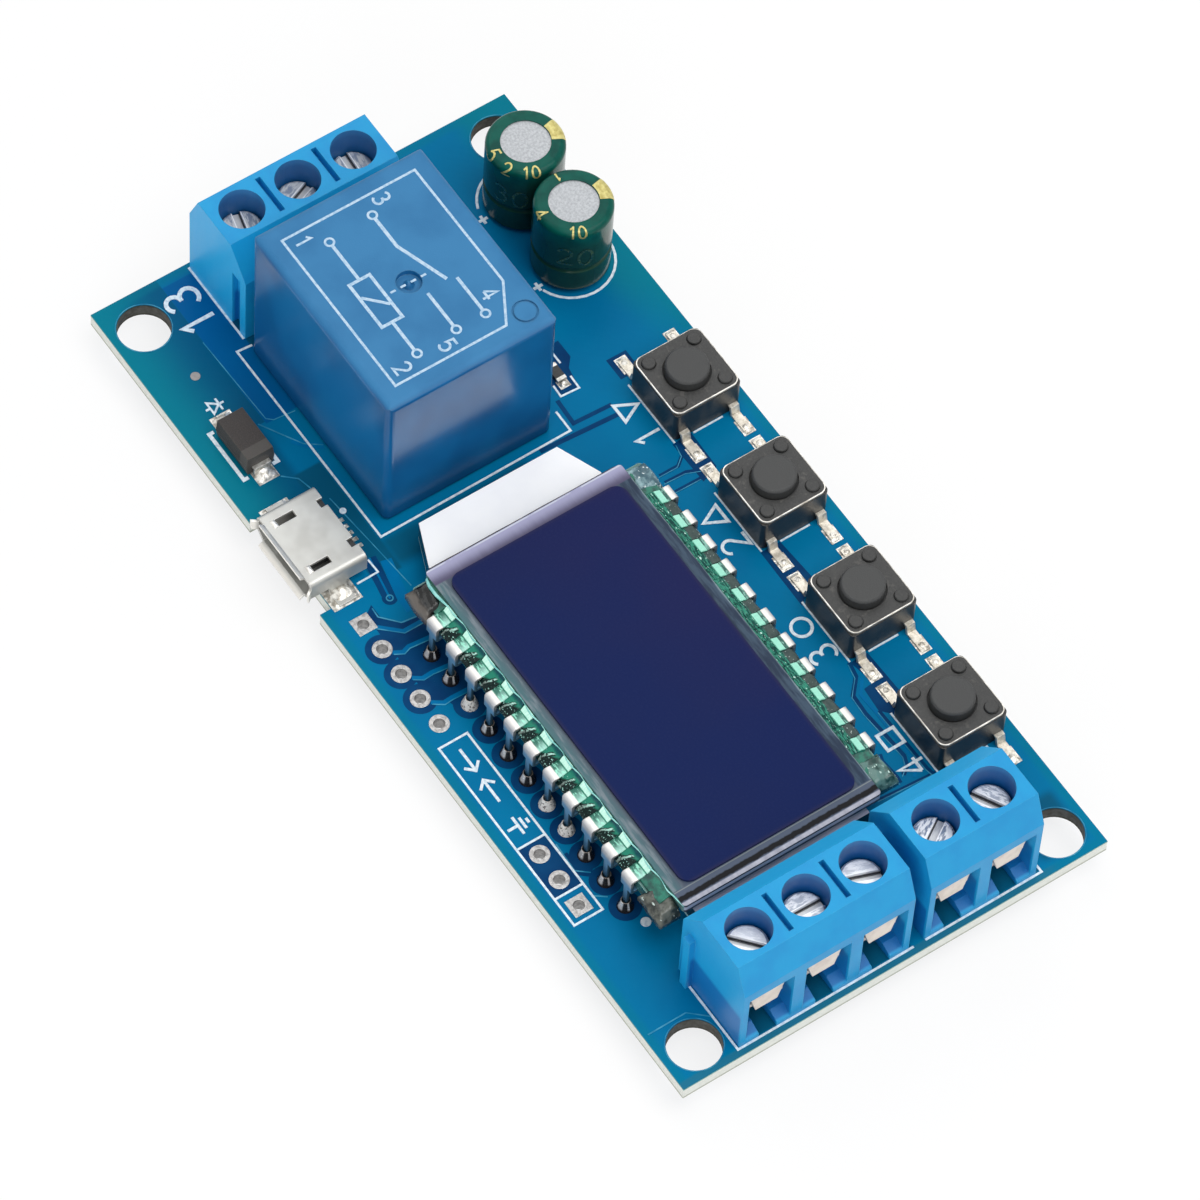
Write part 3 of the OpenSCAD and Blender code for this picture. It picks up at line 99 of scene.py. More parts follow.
class Paint:  # one material or world, its node tree and the places it is painted by
    def __init__(self, name, world=False):
        self.material = (bpy.data.worlds if world else bpy.data.materials).new(name)
        self.material.use_nodes = True
        self.tree = self.material.node_tree
        self.tree.nodes.clear()
        if world:
            return
        spot = self.node("ShaderNodeTexCoord", out="Object")
        self.place = self.node("ShaderNodeVectorMath", {"operation": "SCALE"}, {0: spot, "Scale": 1 / mm})
        self.x, self.y, self.z = self.split(self.place)  # millimetres
        self.face = self.split(self.node("ShaderNodeTexCoord", out="Normal"))
        self.up = self.face[2]

    def node(self, kind, settings=None, values=None, out=0):
        made = self.tree.nodes.new(kind)
        for key, value in (settings or {}).items():
            setattr(made, key, value)
        for key, value in (values or {}).items():
            if isinstance(value, Wire):
                self.tree.links.new(value.socket, made.inputs[key])
            else:
                made.inputs[key].default_value = value
        return Wire(self, made.outputs[out])

    def split(self, vector):
        first = self.node("ShaderNodeSeparateXYZ", values={0: vector})
        return [Wire(self, output) for output in first.socket.node.outputs]

    def moved(self, stretch, shift, turn):
        values = {"Vector": self.place, "Scale": stretch, "Location": shift, "Rotation": (0, 0, turn)}
        return self.node("ShaderNodeMapping", values=values)

    def noise(self, scale, detail=2, rough=0.5, stretch=None, shift=(0, 0, 0), turn=0):
        place = self.place
        if stretch or any(shift) or turn:
            place = self.moved(stretch or (1, 1, 1), shift, turn)
        values = {"Vector": place, "Scale": scale, "Detail": detail, "Roughness": rough}
        return self.node("ShaderNodeTexNoise", values=values)

    def smooth(self, value, low, high):
        return self.node("ShaderNodeMapRange", {"interpolation_type": "SMOOTHSTEP"}, {0: value, 1: low, 2: high})

    def band(self, value, low, high, soft=0.03):
        return self.smooth(value, low - soft, low + soft) * (1 - self.smooth(value, high - soft, high + soft))

    def zone(self, low, high, soft=0.2):  # 1 inside a rectangle of the board
        return self.band(self.x, low[0], high[0], soft) * self.band(self.y, low[1], high[1], soft)

    def inset(self, low, high):  # how far a point lies behind the sides of a box
        across = (self.x - low[0]).least(high[0] - self.x)
        return across.least((self.y - low[1]).least(high[1] - self.y))

    def away(self, centre, stretch=(1, 1)):  # distance in X and Y from a point
        across, along = (self.x - centre[0]) / stretch[0], (self.y - centre[1]) / stretch[1]
        return (across * across + along * along) ** 0.5

    def looking(self, degrees, wide, soft=8):  # 1 where a steep face looks this way, seen from above
        turn = math.radians(degrees)
        across, along = self.face[0], self.face[1]
        length = (across * across + along * along) ** 0.5 + 0.001
        return self.smooth((across * math.cos(turn) + along * math.sin(turn)) / length,
                           math.cos(math.radians(wide + soft)), math.cos(math.radians(max(0, wide - soft))))

    def mix(self, share, first, second):
        return self.node("ShaderNodeMix", {"data_type": "RGBA"}, {0: share, 6: first, 7: second}, out=2)

    def fade(self, value, low, high, first, second, share=None):  # from first to second as a value climbs
        step = self.smooth(value, low, high)
        return self.mix(step if share is None else step * share, first, second)

    def soft(self, radius):
        return self.node("ShaderNodeBevel", {"samples": 4}, {"Radius": radius * mm})

    def bump(self, height, depth, normal=None):
        values = {"Height": height, "Distance": depth * mm, "Strength": 1}
        if normal is not None:
            values["Normal"] = normal
        return self.node("ShaderNodeBump", values=values)

    def edgeHighlight(self, radius, low=0.02, high=0.2):  # 1 along sharp edges, where a small bevel turns the normal: the mask of painted edge highlights
        outward = self.node("ShaderNodeNewGeometry", out="Normal")
        turned = self.node("ShaderNodeVectorMath", {"operation": "DOT_PRODUCT"},
                           {0: self.soft(radius), 1: outward}, out="Value")
        return self.smooth(1 - turned, low, high)

    def seen(self):  # 1 where the camera looks straight, through glass or by a reflection
        rays = self.node("ShaderNodeLightPath").socket.node.outputs
        return largest([Wire(self, rays[kind]) for kind in ("Is Camera Ray", "Is Glossy Ray", "Is Transmission Ray")])

    def finish(self, colour, roughness, metallic=0, normal=None, **sockets):
        values = {"Base Color": colour, "Roughness": roughness, "Metallic": metallic}
        if normal is not None:
            values["Normal"] = normal
        values.update({key.replace("_", " "): value for key, value in sockets.items()})
        return self.close(self.node("ShaderNodeBsdfPrincipled", values=values))

    def close(self, shader, output="ShaderNodeOutputMaterial"):
        self.tree.links.new(shader.socket, self.tree.nodes.new(output).inputs[0])
        return self.material


def dress(material, *names):
    for name in names:
        held = nodes[name].data.materials
        held.clear()
        held.append(material)


def plainMoulding(name, tones, cloud, rough, haze, grain, depth):
    p = Paint(name)
    tone = p.mix(p.noise(cloud, 3), *tones)
    return p.finish(tone, rough + 0.1 * p.noise(haze, 2), normal=p.bump(p.noise(grain, 2), depth))


def boxOf(name):  # a node's corners in millimetres
    return [[v / mm for v in corner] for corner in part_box(name)]


# mesh tools, all in millimetres

hair = 0.0003  # each mark lies this much beyond the last, so that no two faces share a plane


class Sheet:  # thin prisms gathered into one piece
    def __init__(self, low, high, down=False):
        self.mesh, self.low, self.high, self.down = bmesh.new(), low, high, down

    def settle(self):
        self.low -= hair * self.down
        self.high += hair * (not self.down)

    def slab(self, outline):
        count = len(outline)
        low = [self.mesh.verts.new((x * mm, y * mm, self.low * mm)) for x, y in outline]
        high = [self.mesh.verts.new((x * mm, y * mm, self.high * mm)) for x, y in outline]
        area = sum(outline[i - 1][0] * outline[i][1] - outline[i][0] * outline[i - 1][1] for i in range(count))
        if area < 0:
            low.reverse()
            high.reverse()
        self.mesh.faces.new(high)
        self.mesh.faces.new(low[::-1])
        for i in range(count):
            j = (i + 1) % count
            self.mesh.faces.new((low[i], low[j], high[j], high[i]))

    def field(self, outline):
        self.slab(outline)
        self.settle()

    def line(self, points, width, closed=False):  # mitred ribbon
        points = [Vector(p) for p in points]
        count = len(points)
        lefts, rights = [], []
        for i, here in enumerate(points):
            before = points[i - 1] if closed or i else None
            after = points[(i + 1) % count] if closed or i < count - 1 else None
            ways = [(here - before).normalized()] if before is not None else []
            ways += [(after - here).normalized()] if after is not None else []
            way = sum(ways, Vector((0, 0))).normalized() if (ways[0] + ways[-1]).length > 0.01 else ways[0]
            side = Vector((-way.y, way.x))
            reach = width / 2 / max(0.5, abs(side.dot(Vector((-ways[0].y, ways[0].x)))))
            lefts.append(here + side * reach)
            rights.append(here - side * reach)
        for i in range(count if closed else count - 1):
            j = (i + 1) % count
            self.slab([rights[i][:], rights[j][:], lefts[j][:], lefts[i][:]])
        self.settle()

    def box(self, low, high):
        self.field([(low[0], low[1]), (high[0], low[1]), (high[0], high[1]), (low[0], high[1])])

    def pad(self, centre, half):
        self.box((centre[0] - half[0], centre[1] - half[1]), (centre[0] + half[0], centre[1] + half[1]))

    def disc(self, centre, radius):
        self.field(loop(centre, radius))

    def ring(self, centre, radius, width):
        self.line(loop(centre, radius), width, True)

    def arc(self, centre, radius, start, end, width):
        self.line(bow(centre, (radius, radius), start, end, 24), width)

    def glyph(self, strokes, at, size, width, turn=180):  # strokes on a unit grid, drawn about their middle
        angle = math.radians(turn)
        for stroke in strokes:
            closed = stroke[0] == stroke[-1]
            spots = [((px - 0.3) * size, (py - 0.5) * size) for px, py in (stroke[:-1] if closed else stroke)]
            self.line([(at[0] + px * math.cos(angle) - py * math.sin(angle),
                        at[1] + px * math.sin(angle) + py * math.cos(angle)) for px, py in spots], width, closed)

    def piece(self, name, material, slot):
        return place(name, self.mesh, material, slot)


def place(name, mesh, material, slot, body="module", smooth=False):
    bmesh.ops.recalc_face_normals(mesh, faces=mesh.faces)
    data = bpy.data.meshes.new(name)
    mesh.to_mesh(data)
    mesh.free()
    data.materials.append(material)
    for polygon in data.polygons:
        polygon.use_smooth = smooth
    made = bpy.data.objects.new(name, data)
    bpy.context.scene.collection.objects.link(made)
    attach(made, body)
    return made


def grid(across, along, spot):  # rows of points from a function of two shares, each 0 to 1
    return [[spot(i / across, j / along) for i in range(across + 1)] for j in range(along + 1)]


def hump(mesh, rows, foot):  # closes a grid of top points with walls and a flat bottom
    tops = [[mesh.verts.new(Vector(p) * mm) for p in row] for row in rows]
    feet = [[mesh.verts.new((p[0] * mm, p[1] * mm, foot * mm)) for p in row] for row in rows]
    for j in range(len(rows) - 1):
        for i in range(len(rows[0]) - 1):
            mesh.faces.new((tops[j][i], tops[j][i + 1], tops[j + 1][i + 1], tops[j + 1][i]))
            mesh.faces.new((feet[j][i], feet[j + 1][i], feet[j + 1][i + 1], feet[j][i + 1]))

    def outline(points):
        far = [row[-1] for row in points[1:]] + points[-1][-2::-1]
        return points[0] + far + [row[0] for row in points[-2:0:-1]]

    upper, lower = outline(tops), outline(feet)
    for k in range(len(upper)):
        n = (k + 1) % len(upper)
        mesh.faces.new((lower[k], lower[n], upper[n], upper[k]))


def bead(mesh, points, radii, count=8):  # round bead along a line of points
    rings = []
    for k, here in enumerate(points):
        here = Vector(here)
        way = (Vector(points[min(k + 1, len(points) - 1)]) - Vector(points[max(k - 1, 0)])).normalized()
        side = way.cross(Vector((0, 0, 1))).normalized()
        over = side.cross(way)
        rings.append([mesh.verts.new((here + (side * math.cos(a) + over * math.sin(a)) * radii[k]) * mm)
                      for a in (2 * math.pi * i / count for i in range(count))])
    for k in range(len(rings) - 1):
        for i in range(count):
            j = (i + 1) % count
            mesh.faces.new((rings[k][i], rings[k][j], rings[k + 1][j], rings[k + 1][i]))
    mesh.faces.new(rings[0][::-1])
    mesh.faces.new(rings[-1])


def bow(centre, radii, start, end, count=12):  # points along part of an oval
    return [(centre[0] + radii[0] * math.cos(a), centre[1] + radii[1] * math.sin(a))
            for a in (math.radians(start + (end - start) * k / count) for k in range(count + 1))]


def loop(centre, radius, count=28):  # points round a circle
    return bow(centre, (radius, radius), 0, 360 - 360 / count, count - 1)


digits = {
    "0": [bow((0.3, 0.5), (0.28, 0.5), 0, 345, 23) + [(0.58, 0.5)]],
    "1": [[(0.12, 0.78), (0.34, 1), (0.34, 0)]],
    "2": [bow((0.3, 0.72), (0.28, 0.28), 165, -38) + [(0.03, 0), (0.6, 0)]],
    "3": [bow((0.28, 0.76), (0.25, 0.24), 150, -90), bow((0.28, 0.27), (0.3, 0.27), 90, -150)],
    "4": [[(0.42, 0), (0.42, 1), (0, 0.3)], [(0, 0.3), (0.6, 0.3)]],
    "5": [[(0.54, 1), (0.12, 1), (0.07, 0.54)] + bow((0.27, 0.32), (0.3, 0.32), 112, -145)],
}
signs = {
    "up": [[(0.3, 0.95), (-0.1, 0.15), (0.7, 0.15), (0.3, 0.95)]],
    "down": [[(0.3, 0.05), (-0.1, 0.85), (0.7, 0.85), (0.3, 0.05)]],
    "square": [[(-0.05, 0.15), (-0.05, 0.85), (0.65, 0.85), (0.65, 0.15), (-0.05, 0.15)]],
    "wayIn": [[(0.9, 0.5), (-0.3, 0.5)], [(0.05, 0.85), (-0.3, 0.5), (0.05, 0.15)]],
    "wayOut": [[(-0.3, 0.5), (0.9, 0.5)], [(0.55, 0.85), (0.9, 0.5), (0.55, 0.15)]],
    "ground": [[(0.3, 1), (0.3, 0.5)], [(-0.15, 0.5), (0.75, 0.5)],
               [(0.02, 0.27), (0.58, 0.27)], [(0.18, 0.04), (0.42, 0.04)]],
    "diode": [[(-0.3, 0.5), (0, 0.5)], [(0, 0.95), (0, 0.05), (0.6, 0.5), (0, 0.95)],
              [(0.62, 0.95), (0.62, 0.05)], [(0.62, 0.5), (0.95, 0.5)]],
}

# circuit board

boardLow, boardHigh = boxOf("circuit_board")
boardTop = boardHigh[2]
pins = {"count": 11, "pitch": 2.54, "half": 0.625, "first": boxOf("display_pins")[0][0] + 0.625, "rows": (-13.87, 7.57)}
board = {
    "pour": linear(0, 113, 158), "pourDeep": linear(0, 103, 150), "teal": linear(3, 117, 138),
    "tealDeep": linear(2, 86, 124), "blue": linear(0, 90, 147), "lip": linear(40, 108, 134),
    "shade": linear(8, 82, 112), "edge": linear(232, 234, 228), "edgeDeep": linear(198, 201, 192),
    "edgeLine": linear(128, 168, 160), "edgeFootShade": linear(176, 180, 166), "drilled": linear(46, 42, 36),
    "marginWidth": 0.75, "holes": [(sx * 36.7, sy * 16.15) for sx in (-1, 1) for sy in (-1, 1)], "holeRadius": 2.1,
    "tealCorner": ((-36, 19), (22, 5)), "blueZone": ((-39, -13.05), (-24.5, -8), 0.06),
    "slopeZones": [((-42, -21), (-24.7, -13.05), 0.06), ((-25, -21), (-17.4, -13.6), 0.5)],
    "shadeZones": [((-19.5, -13.9), (-8.4, -11.5), 0.15), ((-11.3, -11.6), (-8.6, 1.5), 0.6),
                   ((31, -13.6), (38.55, 1.7), 0.05), ((31, 3), (38.55, 13.2), 0.05),
                   ((33.5, 14), (38.2, 17.9), 0.5), ((-39.3, -10.2), (-31, 4.8), 0.05)],
}


def boardPaint():
    p = Paint("boardMask")
    cloud = p.noise(0.12, 3)
    weave = ((p.x * 7.5).sine() * (p.y * 7.5).sine()) * 0.5 + 0.5
    inside = p.inset(boardLow, boardHigh) + cloud * 0.15
    margin = 1 - p.smooth(inside, board["marginWidth"] - 0.3, board["marginWidth"] + 0.3)
    corner = 1 - p.smooth(p.away(*board["tealCorner"]), 0.7, 1.2)
    plain = p.fade(cloud, 0.35, 0.7, board["pour"], board["pourDeep"], 0.7)
    mask = p.mix(corner * 0.9, plain, board["teal"])
    mask = p.mix(p.zone(*board["blueZone"]), mask, board["blue"])
    slope = p.fade(p.y + cloud * 0.8, -13, -18.2, board["tealDeep"], board["teal"])  # greener to the rear edge
    mask = p.mix(largest([p.zone(*zone) for zone in board["slopeZones"]]), mask, slope)
    mask = p.mix(margin * 0.45, mask, board["teal"])
    for zone in board["shadeZones"]:
        mask = p.mix(p.zone(*zone) * 0.9, mask, board["shade"])
    strip = p.smooth(p.x, 38.6, 38.8) * p.smooth(p.y, 15, 13)  # greyer, before the front blocks
    mask = p.mix(strip * 0.7, mask, board["lip"])
    laminate = p.fade(p.noise(3, 4, 0.7, (0.5, 0.5, 6)), 0.35, 0.75, board["edge"], board["edgeDeep"], 0.6)
    laminate = p.mix(p.band(p.z, boardTop - 0.14, boardTop + 1, 0.04), laminate, board["edgeLine"])
    # painted shade along the foot of the board's edge, next to the floor
    laminate = p.mix(1 - p.smooth(p.z, 0.1, 0.3), laminate, board["edgeFootShade"])
    hole = largest([p.away(spot) < board["holeRadius"] + 0.15 for spot in board["holes"]])
    laminate = p.mix(hole * (0.8 + 0.2 * p.noise(2.5, 3)), laminate, board["drilled"])
    flat = abs(p.up) > 0.5
    tone = p.mix(flat, laminate, p.mix(p.up > 0, plain, mask))
    bumps = p.bump(p.noise(2, 3) * 0.7 + weave * 0.3, 0.012)
    return p.finish(tone, 0.28 + 0.25 * (1 - flat) + 0.1 * cloud, normal=bumps, Specular_IOR_Level=0.04)


dress(boardPaint(), "circuit_board")
trace = {
    "gap": linear(8, 66, 112), "gapDeep": linear(6, 54, 100),  # bare laminate under the mask
    "ridgeGlint": linear(70, 158, 188), "ridgeGlintDim": linear(26, 124, 162),  # painted highlight where the mask rises over a copper edge
    "track": linear(0, 112, 166), "trackDeep": linear(0, 104, 158),
    "headerHoles": [(-5.78 + 2.54 * k, -16.68) for k in range(1, 4)], "holeRing": (0.97, 0.66),
    "pinRadii": (1.25, 1.08),
    "gapFields": [
        [(-6.9, -15.25), (-5.7, -15.25), (-4.3, -14.1), (-4.1, -12.4), (5.2, -12.4),
         (4.9, -14.6), (3.3, -15), (2.9, -16.1), (-6.3, -16.1)],
        [(-18.8, 9.6), (-17.1, 9.6), (-16.3, 8.9), (-14.5, 8.6), (-14.5, 6.9), (-18.8, 6.9)],  # round the chip
        [(-15.34, 11.65), (-13.3, 11.64), (-13.28, 13.42), (-15.32, 13.44)],  # at the buttons' near legs
        [(-6.5, 13.4), (-3, 13.3), (-2.4, 11.7), (-6.4, 11.6)],
        [(5.07, 13.5), (8.93, 13.74), (10.59, 11.64), (5.07, 11.71)],
        [(16.54, 13.4), (20.61, 13.52), (21.99, 12.03), (21.1, 11.2), (18.98, 11.36), (18.86, 12.27), (16.57, 11.81)]],
    "gapBoxes": [((16.46, -17.8), (21.22, -17.25)), ((16.46, -16.1), (21.22, -15.5)), ((16.46, -17.25), (17, -16.1)),
                 ((18.15, -17.25), (19.55, -16.1)), ((20.7, -17.25), (21.22, -16.1))],
    "gapLines": [([(18.5, -15.3), (20, -15.3), (20.9, -14.3)], 0.8), ([(-10.4, -13.1), (-6.6, -13.75)], 1.05),
                 ([(-14.35, 6.52), (-12, 6.4), (-11.84, 9.77)], 0.35), ([(-11.28, 2.87), (-10.85, 9.74)], 0.4)],
    "edgedGaps": [([(-4.61, 9.2), (-4.6, 10.9), (-5.24, 11.71), (-6.28, 11.92)], 0.3),
                  ([(-3.9, 9.2), (-3.82, 11.08), (-3.35, 12.19)], 0.3), ([(-2.81, 9.4), (-2.77, 11.8)], 0.3),
                  ([(16.53, 11.74), (17.77, 11.49), (19.02, 10.34), (20.71, 10.24), (25.23, 10.55),
                    (26.06, 10.22), (26.56, 9.56)], 0.35),
                  ([(21.1, 11.2), (27.02, 11.35), (27.82, 11.5)], 0.3),
                  ([(24.18, 9.12), (24.75, 8.93), (26.46, 9.06), (27, 8.99)], 0.3),
                  ([(27.31, 6.8), (27.67, 11.82)], 0.25)],
    "edgedTracks": [[(-5.2, -16.1), (-3.7, -14.5), (-3.7, -12.6)],
                    [(-2.6, -16.2), (-2.2, -15.5), (-2.4, -14.9), (-2.2, -12.9)],
                    [(0, -16.2), (0.45, -15.55), (0.4, -14.7), (0.6, -13)],
                    [(2.5, -16.2), (3.05, -15.4), (3, -14.7), (3.06, -13)]],
    "tracks": [([(-9.6, -12.15), (-6.2, -12.9), (-4.9, -12.9)], 0.9),  # pour beside the loop at the socket
               ([(-10.4, -13.1), (-6.6, -13.75)], 0.16), ([(-22.2, -12.3), (-21.3, -11.6), (-20.5, -10.5)], 0.5),
               ([(18.1, 11.82), (19.24, 10.86), (21.42, 10.98), (26.29, 10.94), (27.15, 10.12)], 0.26)],
    "loopEnd": (-6.65, -13.75),
    "ridgeGlints": [([(-6.6, -15.35), (-5.75, -15.4), (-4.4, -14.2), (-4.2, -12.6)], 0.09),
               ([(-16.4, -12.7), (-6.7, -11.8)], 0.08), ([(-24.8, -13.6), (-21.5, -11.7), (-20.6, -10.5)], 0.1),
               ([(-20, -14.7), (-19.1, -13.7), (-17.9, -13.4)], 0.1),
               ([(-33.2, -13.1), (-24.9, -12.85), (-24.5, -12.4), (-24.3, -10.6)], 0.07),
               ([(34.2, -18.5), (34.2, -15.2), (35.6, -13.65)], 0.1),
               ([(17.5, -15.2), (20.1, -15.3), (20.85, -14.4)], 0.09), ([(22.6, -15.3), (23.2, -14.5)], 0.09)],
}
underside = {
    "controller": (9.03, -3.15), "legs": 10, "legPitch": 0.65, "legReach": 2.9, "routeWidth": 0.26, "clearance": 0.34,
    "chips": [(1.03, -7.15, 0), (4.03, -8.15, 0), (1.03, 0.85, 0), (3.53, 1.85, 1),
              (17.03, -3.15, 1), (20.03, -3.15, 1), (-3, 10.37, 0), (-12, 8.87, 1)],  # X, Y and whether turned
    "routes": [([(20.03, -4.1), (20.03, -9), (22.65, -11.6), (22.65, -15.9)], 0.3),
               ([(20.03, -2.2), (20.03, 2), (34.4, 5.32)], 0.5), ([(17.03, -2.2), (17.03, 3), (34.4, 10.32)], 0.5),
               ([(-2.2, 10.37), (1, 10.37), (4, 7.4), (3.53, 2.8)], 0.3), ([(-3.8, 10.37), (-6, 11.2)], 0.4),
               ([(-12, 9.8), (-12, 12.4), (-22.8, 14.5)], 0.5)],
}


def maskPaint(name, tones, cloud, span, rough, wave, shine=0.04):
    p = Paint(name)
    tone = p.fade(p.noise(cloud, 2), *span, *tones)
    return p.finish(tone, rough + wave * p.noise(3, 2), Specular_IOR_Level=shine)


def controllerLegs():  # X and Y of each leg, its side and its number
    x, y = underside["controller"]
    middle = (underside["legs"] - 1) / 2
    return [(x + (k - middle) * underside["legPitch"], y + side * underside["legReach"], side, k)
            for k in range(underside["legs"]) for side in (-1, 1)]


def traces():
    gap = maskPaint("maskGap", (trace["gap"], trace["gapDeep"]), 0.5, (0.3, 0.7), 0.32, 0.06)
    ridgeGlint = maskPaint("maskRidgeGlint", (trace["ridgeGlint"], trace["ridgeGlintDim"]), 0.7, (0.35, 0.65), 0.25, 0.08, 0.2)
    track = maskPaint("maskTrack", (trace["track"], trace["trackDeep"]), 0.4, (0.3, 0.7), 0.3, 0.06)
    # the shine sheet holds painted highlights: bright lines along one side of raised copper edges and rings round holes
    dark, copper, shine = (Sheet(boardTop - 0.01, boardTop + height) for height in (0.004, 0.024, 0.034))
    for spot in trace["headerHoles"]:
        dark.ring(spot, *trace["holeRing"])  # open in the middle, over the drilled hole
    for outline in trace["gapFields"]:
        dark.field(outline)
    for corners in trace["gapBoxes"]:
        dark.box(*corners)
    for k in range(pins["count"]):
        for row, radius in zip(pins["rows"], trace["pinRadii"]):
            dark.disc((pins["first"] + pins["pitch"] * k, row), radius)
    dark.disc(trace["loopEnd"], 0.6)
    # painted highlight round the loop's end
    shine.ring(trace["loopEnd"], 0.25, 0.1)
    for sheet, kind in ((dark, "gapLines"), (copper, "tracks"), (shine, "ridgeGlints")):
        for route, width in trace[kind]:
            sheet.line(route, width)
    for route in trace["edgedTracks"]:
        copper.line(route, 0.34)
        # painted highlight along one edge of the track
        shine.line([(x + 0.2, y) for x, y in route], 0.08)
    for route, width in trace["edgedGaps"]:
        dark.line(route, width)
        # painted highlight along one edge of the gap
        shine.line([(x + 0.1, y - width / 2) for x, y in route], 0.06)
    for spot in board["holes"]:
        # painted highlight round each mounting hole
        shine.ring(spot, board["holeRadius"] + 0.08, 0.05)
    dark.piece("maskGaps", gap, "board")
    copper.piece("maskTracks", track, "board")
    shine.piece("maskRidgeGlints", ridgeGlint, "board")
    dark, copper = (Sheet(boardLow[2] - depth, boardLow[2] + 0.01, True) for depth in (0.004, 0.02))
    routes = []
    for leg, start, side, k in controllerLegs():  # the controller fans out to both rows of display pins
        pin, row = pins["first"] + pins["pitch"] * k, pins["rows"][side > 0]
        route = [(leg, start), (leg, start + side * 0.7), (pin, row - side * 1.9), (pin, row)]
        routes.append((route, underside["routeWidth"]))
    for route, width in routes + underside["routes"]:
        dark.line(route, width + underside["clearance"])
        copper.line(route, width)
    dark.piece("underGaps", gap, "board")
    copper.piece("underTracks", track, "board")


traces()
print("board dressed")

# printed marks on the board

boardInk = {
    "ink": linear(228, 238, 244), "inkWorn": linear(192, 210, 224), "line": 0.175, "label": 2.1, "stroke": 0.25,
    "via": linear(128, 121, 118), "viaPale": linear(164, 157, 153), "viaSpot": (-30.95, -15.24),
    "buttons": [(-9.5, 14.87), (1.955, 14.87), (13.405, 14.87), (24.855, 14.87)],
    "header": [(6.15, -17.9), (23.86, -17.9), (23.86, -15.4), (6.15, -15.4)], "headerBars": (16.37, 21.31),
    "outlines": [[(-31, -10.1), (-31.1, -11.4), (-11.46, -11.35), (-11.58, 5.85), (-13.56, 5.87)],
                 [(-39.5, -10.33), (-31.9, -10.33), (-31.9, -9.56)],
                 [(32.5, -13.75), (38.75, -13.75), (38.75, 1.8)], [(38.75, 2.85), (38.75, 13.3), (36.5, 13.3)]],
    "lines": [([(-10.31, -13.28), (-9.02, -13.23), (-8.99, -15.12)], 0.15),
              ([(-26, -16.8), (-26, -17.2), (-21.2, -17.2), (-21.2, -16.8)], 0.3),
              ([(-22, -14.15), (-21.25, -14.15), (-21.25, -14.6)], 0.3),
              ([(-15.63, 8.6), (-14.4, 8.55), (-14.5, 6.95), (-15.6, 7)], 0.16),
              ([(-17, 8.6), (-18.2, 8.6), (-18.2, 6.95), (-17, 6.95)], 0.16)],
    "dots": [((-14.91, -12.48), 0.27), ((26.44, -13.36), 0.4)],
    "canArcs": [((-24.4, 14.5), 3.5, -70, 200, 0.2), ((-30.9, 14.5), 3.5, 20, 250, 0.2)],
    "plusSigns": [(-31.03, 10.97), (-23.66, 11.06)],
    "labels": [("down", "1"), ("up", "2"), (None, "3"), ("square", "4")],
    "signs": [("ground", (14.7, -16.65), 1.8, 0.22, 180), ("wayOut", (11.2, -16.65), 1.8, 0.22, 180),
              ("wayIn", (8.1, -16.65), 1.8, 0.22, 180), ("diode", (-27.9, -15.5), 1.25, 0.17, 90)],
    "numbers": [("3", (-37.3, -12.35)), ("1", (-34.9, -12.35))],
}


def boardPrint():
    p = Paint("boardInk")
    tone = p.fade(p.noise(3, 3), 0.4, 0.7, boardInk["ink"], boardInk["inkWorn"])
    ink = p.finish(tone, 0.5 + 0.1 * p.noise(5, 2), normal=p.bump(p.noise(9, 2), 0.006), Specular_IOR_Level=0.2)
    s = Sheet(boardTop - 0.01, boardTop + 0.045)
    s.line(boardInk["header"], boardInk["line"], True)
    bars = [[(x, boardInk["header"][k][1]) for k in (0, 2)] for x in boardInk["headerBars"]]
    for outline in boardInk["outlines"] + bars:
        s.line(outline, boardInk["line"])
    for points, width in boardInk["lines"]:
        s.line(points, width)
    for dot in boardInk["dots"]:
        s.disc(*dot)
    for arc in boardInk["canArcs"]:
        s.arc(*arc)
    for x, y in boardInk["plusSigns"]:
        s.line([(x - 0.4, y), (x + 0.4, y)], 0.24)
        s.line([(x, y - 0.4), (x, y + 0.4)], 0.24)
    size, stroke = boardInk["label"], boardInk["stroke"]
    for (x, y), (sign, digit) in zip(boardInk["buttons"], boardInk["labels"]):
        s.line([(x - 3.1, y - 3.05), (x + 3.1, y - 3.05)], 0.15)
        for side in (-1, 1):
            s.line([(x + side * 3.1, y - 1.35), (x + side * 3.1, y + 1.35)], 0.15)
        if sign:
            s.glyph(signs[sign], (x - 1.3, y - 4.35), size, stroke)
        else:
            s.ring((x - 1.3, y - 4.35), 0.8, stroke)
        s.glyph(digits[digit], (x + 1.5, y - 4.35), size, stroke)
    for sign, *drawn in boardInk["signs"]:
        s.glyph(signs[sign], *drawn)
    for digit, spot in boardInk["numbers"]:
        s.glyph(digits[digit], spot, 2.7, 0.34)
    s.piece("boardPrint", ink, "board")
    p = Paint("viaTin")
    tin = p.finish(p.mix(p.noise(4, 2), boardInk["via"], boardInk["viaPale"]), 0.4 + 0.1 * p.noise(6, 2), 0.3)
    via = Sheet(boardTop - 0.01, boardTop + 0.04)
    via.disc(boardInk["viaSpot"], 0.38)
    via.piece("testVia", tin, "tinned")


boardPrint()
print("board marks done")

# tin and other metals

